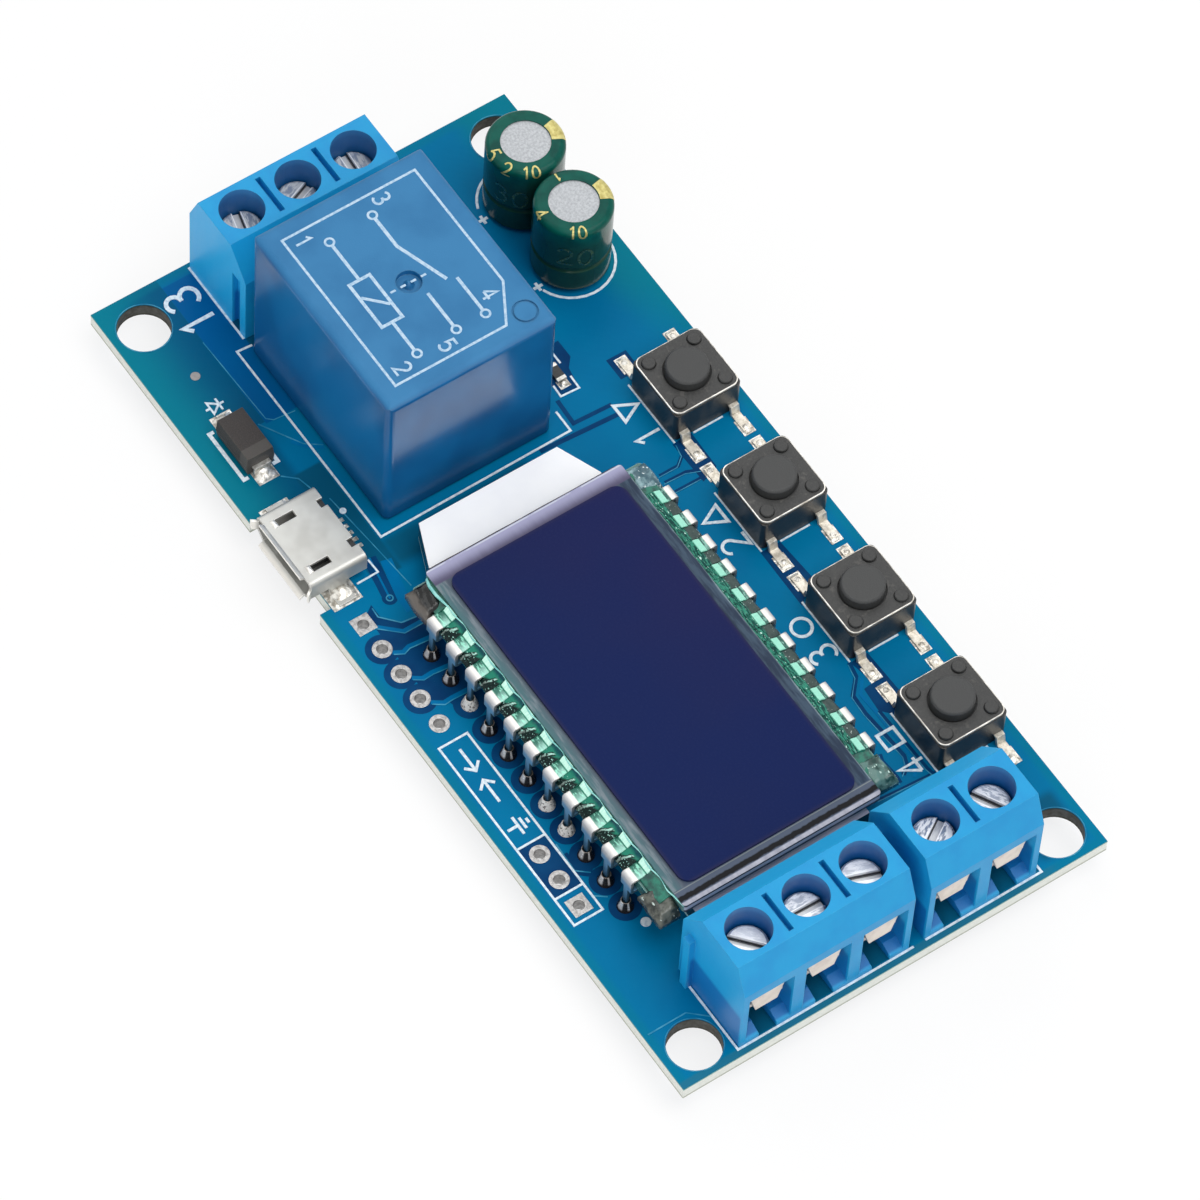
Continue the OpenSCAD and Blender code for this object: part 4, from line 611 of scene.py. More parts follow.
tins = {  # tones and finish of each sheet metal
    "tinPlate": {"bright": linear(222, 220, 214), "dull": linear(168, 165, 158)},
    "legTin": {"bright": linear(230, 224, 211), "dull": linear(188, 180, 164), "rough": 0.28, "metallic": 0.5},
    "clampPlate": {"bright": linear(232, 224, 216), "dull": linear(196, 186, 178), "rough": 0.4,
                   "grain": (0.4, 1, 1), "metallic": 0.4},
    "wirePlate": {"bright": linear(232, 221, 210), "dull": linear(216, 204, 193), "rough": 0.42,
                  "grain": (0.6, 0.3, 0.3), "metallic": 0.25, "depth": 0.004},
    "eyeletTin": {"bright": linear(186, 184, 182), "dull": linear(140, 138, 137), "rough": 0.3,
                  "metallic": 0.6, "shine": 0.9},
    "ironPlate": {"bright": linear(150, 150, 152), "dull": linear(105, 105, 108), "rough": 0.42, "grain": (3, 0.4, 1)},
    "contactStrip": {"bright": linear(214, 170, 96), "dull": linear(160, 116, 60), "rough": 0.34, "grain": (4, 0.5, 1)},
}
tinned = {  # the nodes that wear it
    "tinPlate": ("relay_terminals", "capacitor_leads", "diode_leads", "chip_leads", "button_domes"),
    "legTin": ("button_legs",), "clampPlate": ("terminal_clamps",), "eyeletTin": ("header_eyelets",),
    "wirePlate": [name for name in nodes if "_plate_" in name],
    "ironPlate": ("relay_core", "relay_yoke", "relay_armature"), "contactStrip": ("relay_contact_spring",),
}
tinGlint = linear(248, 247, 244)


def tinPaint(name, bright, dull, rough=0.32, grain=(1, 1, 1), metallic=0.85, depth=0.01, shine=0.6, radius=0.05):
    p = Paint(name)
    streak = p.noise(3, 3, 0.6, grain)
    fine = p.noise(14, 2)
    colour = p.fade(streak, 0.35, 0.7, bright, dull)
    # painted highlight along the sharp edges
    colour = p.mix(p.edgeHighlight(radius) * shine, colour, tinGlint)
    return p.finish(colour, rough + 0.15 * fine, metallic, p.bump(streak * 0.6 + fine * 0.4, depth, p.soft(radius)))


for name, looks in tins.items():
    dress(tinPaint(name, **looks), *tinned[name])
contact = {"gold": linear(226, 190, 110), "goldDull": linear(180, 140, 70),
           "tail": linear(250, 250, 248), "tailDull": linear(214, 214, 212), "tailStart": -14.3}


def contactPaint():  # gold inside the socket, tinned where the ends come out at the back
    p = Paint("contactGold")
    haze = p.noise(3, 3)
    gold, tail = (p.mix(haze, contact[kind], contact[kind + "Dull"]) for kind in ("gold", "tail"))
    tone = p.fade(p.y, contact["tailStart"], contact["tailStart"] + 0.3, gold, tail)
    return p.finish(tone, 0.3 + 0.1 * haze, 0.5, p.bump(haze, 0.01, p.soft(0.05)))


dress(contactPaint(), "usb_contacts")
screw = {
    "head": {"rear": linear(208, 210, 210), "long": linear(248, 249, 250), "short": linear(248, 249, 250)},
    "streak": linear(124, 138, 160), "speck": linear(96, 102, 112), "glint": linear(255, 255, 255),
    # the wall tone is painted shade for the slot's walls, the head's steep sides and the shank
    "floor": linear(226, 228, 230), "wall": linear(40, 42, 48), "slotHalf": 0.325,
    "turns": {"rear": (-14, 112, -4), "long": (41, 88, 70), "short": (-58, 29)},  # of each slot, in degrees
    "dull": {"rear": (0.85, 0.85, 0.85), "long": (0.2, 0.6, 0.35), "short": (1, 0.7)},
    "shine": {"rear": 0.12, "long": 0.5, "short": 0.35},
}


def screwPaint(row, k, low, high):
    p = Paint("screwZinc_%s%d" % (row, k + 1))
    half, headTop, turn = screw["slotHalf"], high[2], math.radians(screw["turns"][row][k])
    across, along = p.x - (low[0] + high[0]) / 2, p.y - (low[1] + high[1]) / 2
    across, along = (along * math.cos(turn) - across * math.sin(turn),
                     across * math.cos(turn) + along * math.sin(turn))
    lined = p.node("ShaderNodeCombineXYZ", values={0: along * 0.8 + 5 * k, 1: across * 2.6 + len(row)})
    streak = p.node("ShaderNodeTexNoise", values={"Vector": lined, "Scale": 1.1, "Detail": 4, "Roughness": 0.62})
    fine = p.noise(9, 3, 0.7)
    sunk = p.smooth(p.z, headTop - 0.2, headTop - 0.35)
    tone = p.fade(streak, 0.46, 0.56, screw["head"][row], screw["streak"], screw["dull"][row][k])
    tone = p.fade(fine, 0.6, 0.75, tone, screw["speck"], 0.3)
    tone = p.mix(p.band(abs(across), half, half + 0.09, 0.03), tone, screw["glint"])  # painted highlight along both edges of the slot
    tone = p.mix(sunk * 0.85, tone, screw["floor"])
    # painted shade along the slot's walls
    tone = p.mix(sunk * p.smooth(abs(across), half - 0.1, half - 0.04), tone, screw["wall"])
    tone = p.fade(p.z, headTop - 0.62, headTop - 0.8, tone, screw["wall"])  # painted shade keeps the shank dark
    # painted shade on the head's steep sides
    steep = 1 - p.smooth(p.up, 0.3, 0.6)
    tone = p.mix(steep * p.smooth(p.z, headTop - 0.3, headTop - 0.4), tone, screw["wall"])
    # painted highlight along the sharp edges
    tone = p.mix(p.edgeHighlight(0.05) * 0.8, tone, screw["glint"])
    bumps = p.bump(streak * 0.6 + fine * 0.4, 0.02, p.soft(0.05))
    return p.finish(tone, 0.26 + 0.2 * fine, screw["shine"][row], bumps)


for row, turns in screw["turns"].items():
    for k in range(len(turns)):
        name = "%s_screw_%d" % (row, k + 1)
        dress(screwPaint(row, k, *boxOf(name)), name)

# solder

solder = {
    # the cones' tones: the first a painted highlight, the second a lit top, the third painted shade
    "bright": linear(240, 234, 228), "mid": linear(150, 142, 136), "dark": linear(40, 35, 31),
    "silver": linear(240, 236, 229), "silverDark": linear(96, 90, 83), "silverPins": (2, 6, 7),
    "below": linear(206, 204, 198), "belowDull": linear(150, 148, 142),
    "fillet": linear(240, 237, 229), "filletDull": linear(156, 150, 139),
}


def solderPaint():
    p = Paint("solderCone")
    lump = p.noise(2.6, 2)
    rim = p.smooth(p.z, boardTop + 0.15, boardTop + 0.4)
    # painted highlights on the faces that look towards the lamps, painted shade on the rest and at the foot
    glint = largest([p.looking(-88, 24, 10), p.looking(-8, 9, 5), p.looking(150, 16, 8) * 0.5]) * rim
    tone = p.mix(glint * (0.75 + 0.25 * lump), solder["dark"], solder["bright"])
    # the top is painted a lit grey
    tone = p.mix(p.smooth(p.up, 0.86, 0.96) * rim, tone, solder["mid"])
    spots = [pins["first"] + pins["pitch"] * pin for pin in solder["silverPins"]]
    silver = largest([p.zone((x - 1, -15.2), (x + 1, -12.6), 0.05) for x in spots])
    pale = p.fade(p.noise(5, 3, 0.6), 0.52, 0.64, solder["silver"], solder["silverDark"])
    tone = p.mix(silver * 0.9, tone, pale)
    below = p.mix(lump, solder["below"], solder["belowDull"])
    tone = p.fade(p.z, boardTop - 0.1, boardTop - 0.3, tone, below)  # joints under the board
    return p.finish(tone, 0.2 + 0.12 * p.noise(6, 2), 0.45 - 0.35 * silver, p.bump(lump, 0.06, p.soft(0.1)))


dress(solderPaint(), "solder_joints")
pad = {  # half size of each pad, and length, width and height of its solder
    "button": ((0.75, 0.52), (1.0, 0.95, 0.3)), "tab": ((1.07, 1.25), (1.9, 2.3, 0.6)),
    "contact": ((0.16, 0.6), (0.34, 0.7, 0.3)), "chip": ((0.4, 0.45), (0.55, 0.8, 0.35)),
    "diodeRear": ((0.75, 0.9), (1.3, 1.7, 0.6)), "diodeFront": ((0.9, 0.9), (1.5, 1.7, 0.75)),
    "leg": (0.17, 0.55), "chipEnd": (0.32, 0.45), "chipReach": 0.8,
}


def padJoints():  # kind of pad, its centre, the middle of its solder and where that peaks
    joints = [("diodeRear", (-26.35, -15.6), (-26.3, -15.6), (0.7, 0)),
              ("diodeFront", (-21, -15.6), (-20.9, -15.6), (-0.7, 0))]
    for side in (-1, 1):
        for x, y in boardInk["buttons"]:
            for row in (-1, 1):
                spot = (x + side * 4.75, y + row * 2.25)
                joints.append(("button", spot, (spot[0] + side * 0.2, spot[1]), (-side * 0.5, 0)))
        joints.append(("tab", (-13 + side * 4.13, -16.62), (-13 + side * 4.2, -16.6), (-side * 0.5, 0.1)))
        joints.append(("chip", (-16.3 + side * 0.95, 7.75), (-16.3 + side * 1.05, 7.75), (-side * 0.6, 0)))
    for k in range(-2, 3):
        joints.append(("contact", (-13 + 0.65 * k, -13.5), (-13 + 0.65 * k, -13.2), (0, 0)))
    return joints


def fillets():  # solder and pads under the surface mounted legs
    p = Paint("solderFillet")
    lump = p.noise(2.4, 3)
    tone = p.fade(lump, 0.38, 0.68, solder["fillet"], solder["filletDull"])
    shine = p.finish(tone, 0.22 + 0.2 * p.noise(5, 2), 0.45, p.bump(lump, 0.12))
    plates = Sheet(boardTop - 0.01, boardTop + 0.05)
    mesh = bmesh.new()
    base = boardTop + 0.03
    for kind, spot, middle, peak in padJoints():
        half, (length, width, height) = pad[kind]
        plates.pad(spot, half)

        def mound(across, along):
            a, b = 2 * across - 1, 2 * along - 1
            rise = max(0, (1 - abs(a) ** 3) * (1 - abs(b) ** 3))
            rise *= 0.45 + 0.55 * max(0, 1 - math.hypot(a - peak[0], b - peak[1]))
            return middle[0] + a * length / 2, middle[1] + b * width / 2, base + rise * height

        hump(mesh, grid(8, 8, mound), base - 0.02)
    lands = Sheet(boardLow[2] - 0.035, boardLow[2] + 0.01, True)
    for x, y, *_ in controllerLegs():
        lands.pad((x, y), pad["leg"])
    for x, y, turned in underside["chips"]:
        for reach in (-pad["chipReach"], pad["chipReach"]):
            if turned:
                lands.pad((x, y + reach), pad["chipEnd"][::-1])
            else:
                lands.pad((x + reach, y), pad["chipEnd"])
    lands.piece("underLands", shine, "solder")
    plates.piece("padPlates", shine, "solder")
    place("padSolder", mesh, shine, "solder", smooth=True)


fillets()
print("metals done")

# relay

relayTop = boxOf("relay_cover")[1][2]
relay = {
    # cover tones: top and side are lit and shaded tones of one blue, as painted light; the edge tone is a painted
    # highlight and the foot tone a painted shade
    "top": linear(54, 120, 168), "topDeep": linear(46, 110, 158), "side": linear(22, 103, 160),
    "sideDeep": linear(18, 86, 140), "edge": linear(96, 150, 190), "foot": linear(8, 46, 88),
    "base": (linear(28, 34, 52), linear(16, 20, 34)), "bobbin": (linear(226, 220, 200), linear(205, 196, 172)),
    "winding": (linear(120, 52, 22), linear(198, 112, 62)),
    "ink": linear(186, 208, 226), "inkWorn": linear(150, 184, 212), "middle": (-21.55, -2.86),
    "frames": [([(-7.6, -5.9), (7.6, -5.9), (7.6, 3.9), (4.2, 5.9), (-7.6, 5.9)], 0.2),
               ([(-1.6, -3.9), (2.8, -3.9), (2.8, -2.1), (-1.6, -2.1)], 0.26)],
    "lines": [([(-0.2, -3.77), (1.4, -2.23)], 0.24), ([(-1.73, -3), (-5.22, -3)], 0.26),
              ([(2.93, -3), (5.72, -3)], 0.26), ([(-5.5, 1), (-2.6, 1), (1.8, 2.5)], 0.28),
              ([(2.1, 3.2), (5.5, 3.2)], 0.26), ([(2.1, 0.6), (5.5, 0.6)], 0.26)]
             + [([(0.6, -1.7 + k * 0.9), (0.6, -1.25 + k * 0.9)], 0.18) for k in range(4)],
    "rings": [(-5.6, -3), (6.1, -3), (-5.9, 1), (5.9, 3.2), (5.9, 0.6)],
    "numbers": {"1": (-6.7, -4.6), "2": (6.6, -4.6), "3": (-6.8, 2.4), "4": (4.6, 4.4), "5": (6.7, -0.7)},
}


def relayPaint():
    p = Paint("relayMoulding")
    cloud = p.noise(0.25, 3)
    grain = p.noise(9, 2)
    roof = p.smooth(p.up, 0.3, 0.9)
    top = p.fade(cloud, 0.35, 0.7, relay["top"], relay["topDeep"])
    side = p.fade(p.noise(0.16, 2, stretch=(1, 1, 0.6)), 0.35, 0.65, relay["side"], relay["sideDeep"])
    # the top is painted lighter and greyer than the sides: painted light from above
    tone = p.mix(roof, side, top)
    # painted highlight along the edges
    tone = p.mix(p.edgeHighlight(0.2, 0.02, 0.3) * 0.35, tone, relay["edge"])
    # painted shade darkening the cover towards the board
    tone = p.fade(p.z, boardTop + 3, boardTop + 0.2, tone, relay["foot"], 0.45)
    gloss = p.smooth(p.face[0], 0.5, 0.8) * p.smooth(p.z, boardTop + 4, boardTop + 8)
    return p.finish(tone, 0.17 + 0.33 * roof + 0.08 * grain, normal=p.bump(grain, 0.01, p.soft(0.2)),
                    Specular_IOR_Level=0.22, Coat_Weight=gloss * 0.7, Coat_Roughness=0.15)


def windingPaint():
    p = Paint("windingCopper")
    turns = (p.z * 26).sine() * 0.5 + 0.5
    tone = p.mix(turns * 0.7 + p.noise(3, 2) * 0.3, *relay["winding"])
    return p.finish(tone, 0.3 + 0.1 * turns, 0.85, p.bump(turns, 0.05))


dress(relayPaint(), "relay_cover")
dress(plainMoulding("relayInner", relay["base"], 1.5, 0.5, 6, 8, 0.02), "relay_base")
dress(plainMoulding("bobbinMoulding", relay["bobbin"], 0.8, 0.45, 6, 9, 0.01), "relay_bobbin")
dress(windingPaint(), "relay_winding")


def relayPrint():  # plain switching diagram with numbered pins
    p = Paint("relayInk")
    tone = p.fade(p.noise(4, 3), 0.35, 0.7, relay["ink"], relay["inkWorn"])
    ink = p.finish(tone, 0.5 + 0.1 * p.noise(6, 2), normal=p.bump(p.noise(9, 2), 0.005), Specular_IOR_Level=0.25)
    s = Sheet(relayTop - 0.01, relayTop + 0.01)

    def at(spot):
        return relay["middle"][0] + spot[0], relay["middle"][1] + spot[1]

    for kind in ("frames", "lines"):
        for points, width in relay[kind]:
            s.line([at(spot) for spot in points], width, kind == "frames")
    for spot in relay["rings"]:
        s.ring(at(spot), 0.34, 0.18)
    for digit, spot in relay["numbers"].items():
        s.glyph(digits[digit], at(spot), 1.3, 0.2, 0)
    s.piece("relayPrint", ink, "relay_blue")


relayPrint()
print("relay done")

# terminal blocks

terminal = {
    "body": linear(20, 150, 206), "light": linear(84, 186, 230), "deep": linear(16, 136, 198),
    # painted shade for the screw wells' walls, with a painted highlight towards their rim
    "well": linear(10, 86, 158), "rearWellShade": linear(42, 102, 164), "rim": linear(70, 150, 206), "wellRadius": 1.95,
    "shade": linear(8, 96, 170), "side": linear(28, 170, 230), "slope": linear(30, 172, 232),
    "poles": [(x, y + 5 * k) for x, y, ways in ((-36.12, -7.74, 3), (35.27, -11.08, 3), (35.27, 5.32, 2))
              for k in range(ways)],
    "blocks": ("rear_block", "front_long_block", "front_short_block"),
}


def terminalPaint():
    p = Paint("terminalMoulding")
    grain = p.noise(11, 2)
    tone = p.fade(p.noise(0.4, 3), 0.35, 0.7, terminal["body"], terminal["deep"], 0.6)
    # painted highlight along the edges
    tone = p.mix(p.edgeHighlight(0.1, 0.02, 0.3) * 0.6, tone, terminal["light"])
    boxes = [boxOf(name) for name in terminal["blocks"]]
    blockTop = boxes[-1][1][2]
    well = largest([p.away(pole) < terminal["wellRadius"] + 0.2 for pole in terminal["poles"]])
    skin = largest([p.inset(low, high) for low, high in boxes])
    steep = 1 - p.smooth(abs(p.up), 0.4, 0.7)
    # painted light on the faces that look towards -Y, more on the rear block
    tone = p.mix(p.smooth(-1 * p.face[1], 0.6, 0.9) * (0.4 + 0.5 * (p.x < 0)), tone, terminal["side"])
    slope = p.smooth(-1 * p.face[0], 0.2, 0.4) * p.smooth(p.up, 0.2, 0.4)  # painted light on the rear slope of each top
    tone = p.mix(slope, tone, terminal["slope"])
    # painted shade on the wells' walls, lightened towards the rim as a painted highlight
    wall = p.mix(p.x < 0, terminal["well"], terminal["rearWellShade"])
    wall = p.fade(p.z, blockTop - 0.9, blockTop - 0.1, wall, terminal["rim"], 0.5)
    tone = p.mix(well * steep * p.smooth(p.z, boardTop + 4.5, boardTop + 5) * 0.85, tone, wall)
    hidden = p.smooth(skin, 0.12, 0.3) * p.smooth(p.z, boardTop + 4.4, boardTop + 3.6)  # inside the wire entries
    tone = p.mix(hidden * 0.8, tone, terminal["shade"])
    sheer = p.noise(1.2, 2, 0.5, (1, 1, 0.2))
    bumps = p.bump(grain * 0.6 + sheer * 0.4, 0.015, p.soft(0.1))
    return p.finish(tone, 0.3 + 0.14 * grain + 0.08 * sheer, normal=bumps, Specular_IOR_Level=0.3)


dress(terminalPaint(), *terminal["blocks"])
print("terminals done")

# display

glassLow, glassHigh = boxOf("display_front_glass")
ledgeLow, ledgeHigh = boxOf("display_rear_glass")
filmLow, filmHigh = boxOf("display_front_film")
displayMiddle = (ledgeLow[1] + ledgeHigh[1]) / 2
display = {
    "window": linear(26, 37, 80), "windowViolet": linear(33, 36, 79), "windowDeep": linear(23, 36, 82),
    "windowRim": linear(46, 46, 74), "frontBorder": linear(72, 82, 98),
    "nearBorder": linear(80, 95, 106), "nearOuter": linear(72, 108, 114), "nearSmoke": linear(124, 134, 142),
    "nearInner": linear(70, 78, 92), "farBorder": linear(38, 52, 72), "farSmoke": linear(62, 80, 98),
    "farRim": linear(150, 172, 178), "lilac": linear(158, 158, 188), "lilacDeep": linear(84, 80, 106),
    "lilacRim": linear(196, 200, 214), "end": linear(80, 90, 108), "endDark": linear(14, 15, 20),
    "endPale": linear(206, 206, 218), "endGrey": linear(120, 122, 138), "endGlint": linear(126, 134, 136),
    "plateSide": (linear(34, 66, 66), linear(120, 168, 164)), "plateEnd": (linear(54, 54, 66), linear(196, 196, 210)),
    "rearPlate": (linear(30, 78, 74), linear(66, 118, 112)), "rearPlateGlint": linear(150, 212, 200),
    "guideWall": (linear(22, 36, 44), linear(40, 66, 76)), "guideFoot": linear(170, 206, 206),
    "guideEnd": (linear(10, 10, 16), linear(26, 26, 34)), "guideTop": (linear(176, 175, 198), linear(204, 204, 218)),
    "reflector": (linear(250, 250, 251), linear(246, 246, 248)), "reflectorShade": linear(96, 96, 98),
    "rearFilm": (linear(90, 90, 104), linear(70, 70, 86)),
}


def windowPaint():
    p = Paint("windowFilm")
    across = p.smooth(p.y - p.x * 0.35, -14, 8)
    tone = p.mix(across, display["window"], display["windowViolet"])
    tone = p.fade(p.noise(0.08, 2), 0.4, 0.7, tone, display["windowDeep"], 0.7)
    rim = 1 - p.smooth(p.inset(filmLow, filmHigh), 0.02, 0.35)
    tone = p.mix(rim * 0.55, tone, display["windowRim"])
    return p.finish(tone, 0.24 + 0.06 * p.noise(5, 2), normal=p.bump(p.noise(7, 2), 0.002), Specular_IOR_Level=0.03)


def frontGlassPaint():  # border of the front plate, seen round the film
    p = Paint("frontGlass")
    cloud = p.noise(0.5, 3)
    smoke = p.noise(0.9, 3, 0.6, (0.4, 2.5, 1))
    near = p.fade(p.y, glassLow[1], filmLow[1], display["nearOuter"], display["nearBorder"])
    near = p.fade(smoke, 0.45, 0.68, near, display["nearSmoke"], 0.8)
    near = p.fade(p.y, filmLow[1] - 0.3, filmLow[1], near, display["nearInner"], 0.8)
    far = p.fade(smoke, 0.38, 0.62, display["farBorder"], display["farSmoke"])
    far = p.fade(p.y + smoke * 0.3, glassHigh[1] + 0.02, glassHigh[1] + 0.16, far, display["farRim"], 0.6)
    rear = p.fade(p.x + smoke * 0.2, filmLow[0] - 1.1, filmLow[0] + 0.1, display["lilac"], display["lilacDeep"])
    glint = p.band(p.x, glassLow[0] + 0.04, glassLow[0] + 0.16, 0.03) * p.smooth(cloud, 0.3, 0.5)
    rear = p.mix(glint, rear, display["lilacRim"])
    ragged = p.band(p.x + smoke * 0.25, filmHigh[0] + 0.66, filmHigh[0] + 1.1, 0.06)
    front = p.mix(ragged, display["end"], display["endDark"])
    pale = p.mix(smoke, display["endPale"], display["endGrey"])
    front = p.fade(p.x, filmHigh[0] + 1.02, filmHigh[0] + 1.1, front, pale)
    # painted highlight in a thin line just past the film's end
    front = p.mix(p.band(p.x, filmHigh[0] + 0.06, filmHigh[0] + 0.14, 0.03), front, display["endGlint"])
    tone = p.mix(1 - p.smooth(p.y, filmLow[1] + 0.02, filmLow[1] + 0.2), display["frontBorder"], near)
    tone = p.fade(p.y, filmHigh[1] - 0.2, filmHigh[1] - 0.02, tone, far)
    tone = p.mix(1 - p.smooth(p.x, filmLow[0] - 0.05, filmLow[0] + 0.1), tone, rear)
    tone = p.fade(p.x, filmHigh[0] - 0.05, filmHigh[0] + 0.03, tone, front)
    sides = p.mix(p.noise(1.5, 2, stretch=(1, 1, 5)), *display["plateSide"])
    end = p.mix(p.band(p.z, boardTop + 4.3, boardTop + 4.72, 0.06), *display["plateEnd"])
    sides = p.fade(p.face[0], 0.5, 0.8, sides, end)
    tone = p.mix((1 - p.smooth(p.up, 0.3, 0.7)) * 0.9, tone, sides)
    return p.finish(tone, 0.14 + 0.05 * cloud, normal=p.soft(0.06), Specular_IOR_Level=0.12)


def rearGlassPaint():
    p = Paint("rearGlass")
    cloud = p.noise(0.6, 3)
    tone = p.fade(cloud, 0.3, 0.7, *display["rearPlate"])
    # painted highlight along the plate's edges
    tone = p.mix(p.edgeHighlight(0.12) * 0.8, tone, display["rearPlateGlint"])
    return p.finish(tone, 0.1 + 0.06 * cloud, normal=p.soft(0.08), Coat_Weight=0.3)


def guidePaint():  # pale on top, dark on its sides with a lit bottom edge
    p = Paint("lightGuide")
    wall = p.mix(p.noise(0.9, 2, stretch=(1, 1, 4)), *display["guideWall"])
    wall = p.fade(p.z, boardTop + 1.02, boardTop + 1.14, display["guideFoot"], wall)
    wall = p.fade(p.face[0], 0.5, 0.8, wall, p.mix(p.noise(1, 2), *display["guideEnd"]))
    top = p.mix(p.noise(0.8, 2, stretch=(3, 0.3, 1)), *display["guideTop"])
    tone = p.fade(p.up, 0.4, 0.8, wall, top)
    return p.finish(tone, 0.16 + 0.05 * p.noise(3, 2), normal=p.soft(0.06), Coat_Weight=0.2)


def reflectorPaint():
    p = Paint("reflectorFilm")
    tone = p.fade(p.noise(0.3, 3), 0.35, 0.7, *display["reflector"])
    shade = p.band(p.x + p.noise(0.6, 2) * 0.08, glassLow[0] - 0.17, glassLow[0] + 1, 0.05)
    tone = p.mix(shade * p.band(p.y, -10.4, -1.4, 0.5) * 0.75, tone, display["reflectorShade"])
    return p.finish(tone, 0.4 + 0.1 * p.noise(4, 2), normal=p.bump(p.noise(2, 2), 0.006))


def rearFilmPaint():
    p = Paint("rearFilm")
    tone = p.mix(p.noise(0.7, 2), *display["rearFilm"])
    return p.finish(tone, 0.3 + 0.05 * p.noise(3, 2), normal=p.bump(p.noise(4, 2), 0.004))


dress(windowPaint(), "display_front_film")
dress(frontGlassPaint(), "display_front_glass")
dress(rearGlassPaint(), "display_rear_glass")
dress(guidePaint(), "display_light_guide")
dress(reflectorPaint(), "display_reflector")
dress(rearFilmPaint(), "display_rear_film")

# clips of the display and the resin over them

clips = {
    "fold": linear(242, 238, 232), "foldDull": linear(220, 212, 205), "foldShade": linear(178, 180, 184),
    "jaw": linear(18, 96, 80), "jawPale": linear(160, 212, 198), "jawStreak": linear(150, 232, 204),
    "farJaw": linear(24, 84, 74), "farJawPale": linear(120, 172, 158), "cutEnd": linear(40, 54, 52),
    "leg": linear(44, 82, 110), "legPale": linear(92, 138, 172),
}
resin = {
    "mint": linear(186, 240, 222), "mintDeep": linear(134, 214, 190), "green": linear(28, 118, 98),
    "greenDeep": linear(10, 64, 60), "black": linear(6, 30, 28), "tip": linear(204, 248, 232),
    "farTip": linear(168, 236, 212), "tipSide": linear(92, 176, 152), "pool": linear(10, 68, 76),
    "poolPale": linear(36, 126, 104), "bar": linear(176, 226, 212), "barDull": linear(122, 138, 132),
    "speck": linear(160, 216, 202), "farGreen": linear(56, 140, 118), "farGlint": linear(204, 244, 232),
    "farDark": linear(34, 56, 58), "farGrey": linear(88, 100, 96), "farSparkle": linear(220, 232, 226),
}


def pinPlace(p, shift=0):  # place across one gap, or across one clip with half a step, and distance from the middle
    steps = (p.x - pins["first"]) / pins["pitch"]
    steps = steps + shift if shift else steps
    return (steps.fraction() - 0.5) * pins["pitch"], abs(p.y - displayMiddle)


def clipPaint():
    p = Paint("clipTin")
    clip, reach = pinPlace(p, 0.5)
    lump = p.noise(4, 2)
    fold = p.fade(lump, 0.4, 0.8, clips["fold"], clips["foldDull"], 0.4)
    # painted shade on the fold's outer side
    fold = p.fade(reach, 10.4, 10.84, fold, clips["foldShade"])
    streak = p.noise(2.6, 3, 0.6, (0.8, 2.4, 1), turn=0.5)
    jaw = p.fade(clip + streak * 0.9 - reach * 0.3, -2.95, -1.9, clips["jaw"], clips["jawPale"])
    jaw = p.fade(streak, 0.52, 0.62, jaw, clips["jawStreak"], 0.7)
    jaw = p.mix(p.y > displayMiddle, jaw, p.fade(streak, 0.45, 0.6, clips["farJaw"], clips["farJawPale"]))
    tone = p.mix(1 - p.smooth(reach + lump * 0.06, 10.2, 10.32), fold, jaw)
    # painted reflection of the blue board on the tinned legs, darker towards the board as painted shade
    leg = p.fade(p.z, boardTop + 1, boardTop + 3, clips["leg"], clips["legPale"])
    tone = p.mix(1 - p.smooth(p.z, boardTop + 3.3, boardTop + 3.9), tone, leg)
    tone = p.fade(abs(p.face[0]), 0.5, 0.8, tone, clips["cutEnd"], 0.7)
    return p.finish(tone, 0.3 + 0.1 * lump, 0.15, p.bump(lump, 0.004, p.soft(0.24)))


def ledgePaint():
    p = Paint("ledgeResin")
    lump = p.noise(1.6, 3)
    tone = p.fade(lump, 0.3, 0.65, resin["greenDeep"], resin["green"])
    return p.finish(tone, 0.08 + 0.08 * lump, normal=p.bump(lump, 0.1, p.soft(0.1)),
                    Coat_Weight=0.2, Coat_Roughness=0.05)


dress(clipPaint(), "display_pins")
dress(ledgePaint(), "display_resin")
crystal = {"near": (8.98, 9.5, 4.82, 4.5), "far": (9.3, 9.9, 4.62, 4.5),  # inner and outer reach, and their heights
           "half": 0.61, "foot": 4.2, "lean": 0.12, "chamfer": 0.05}


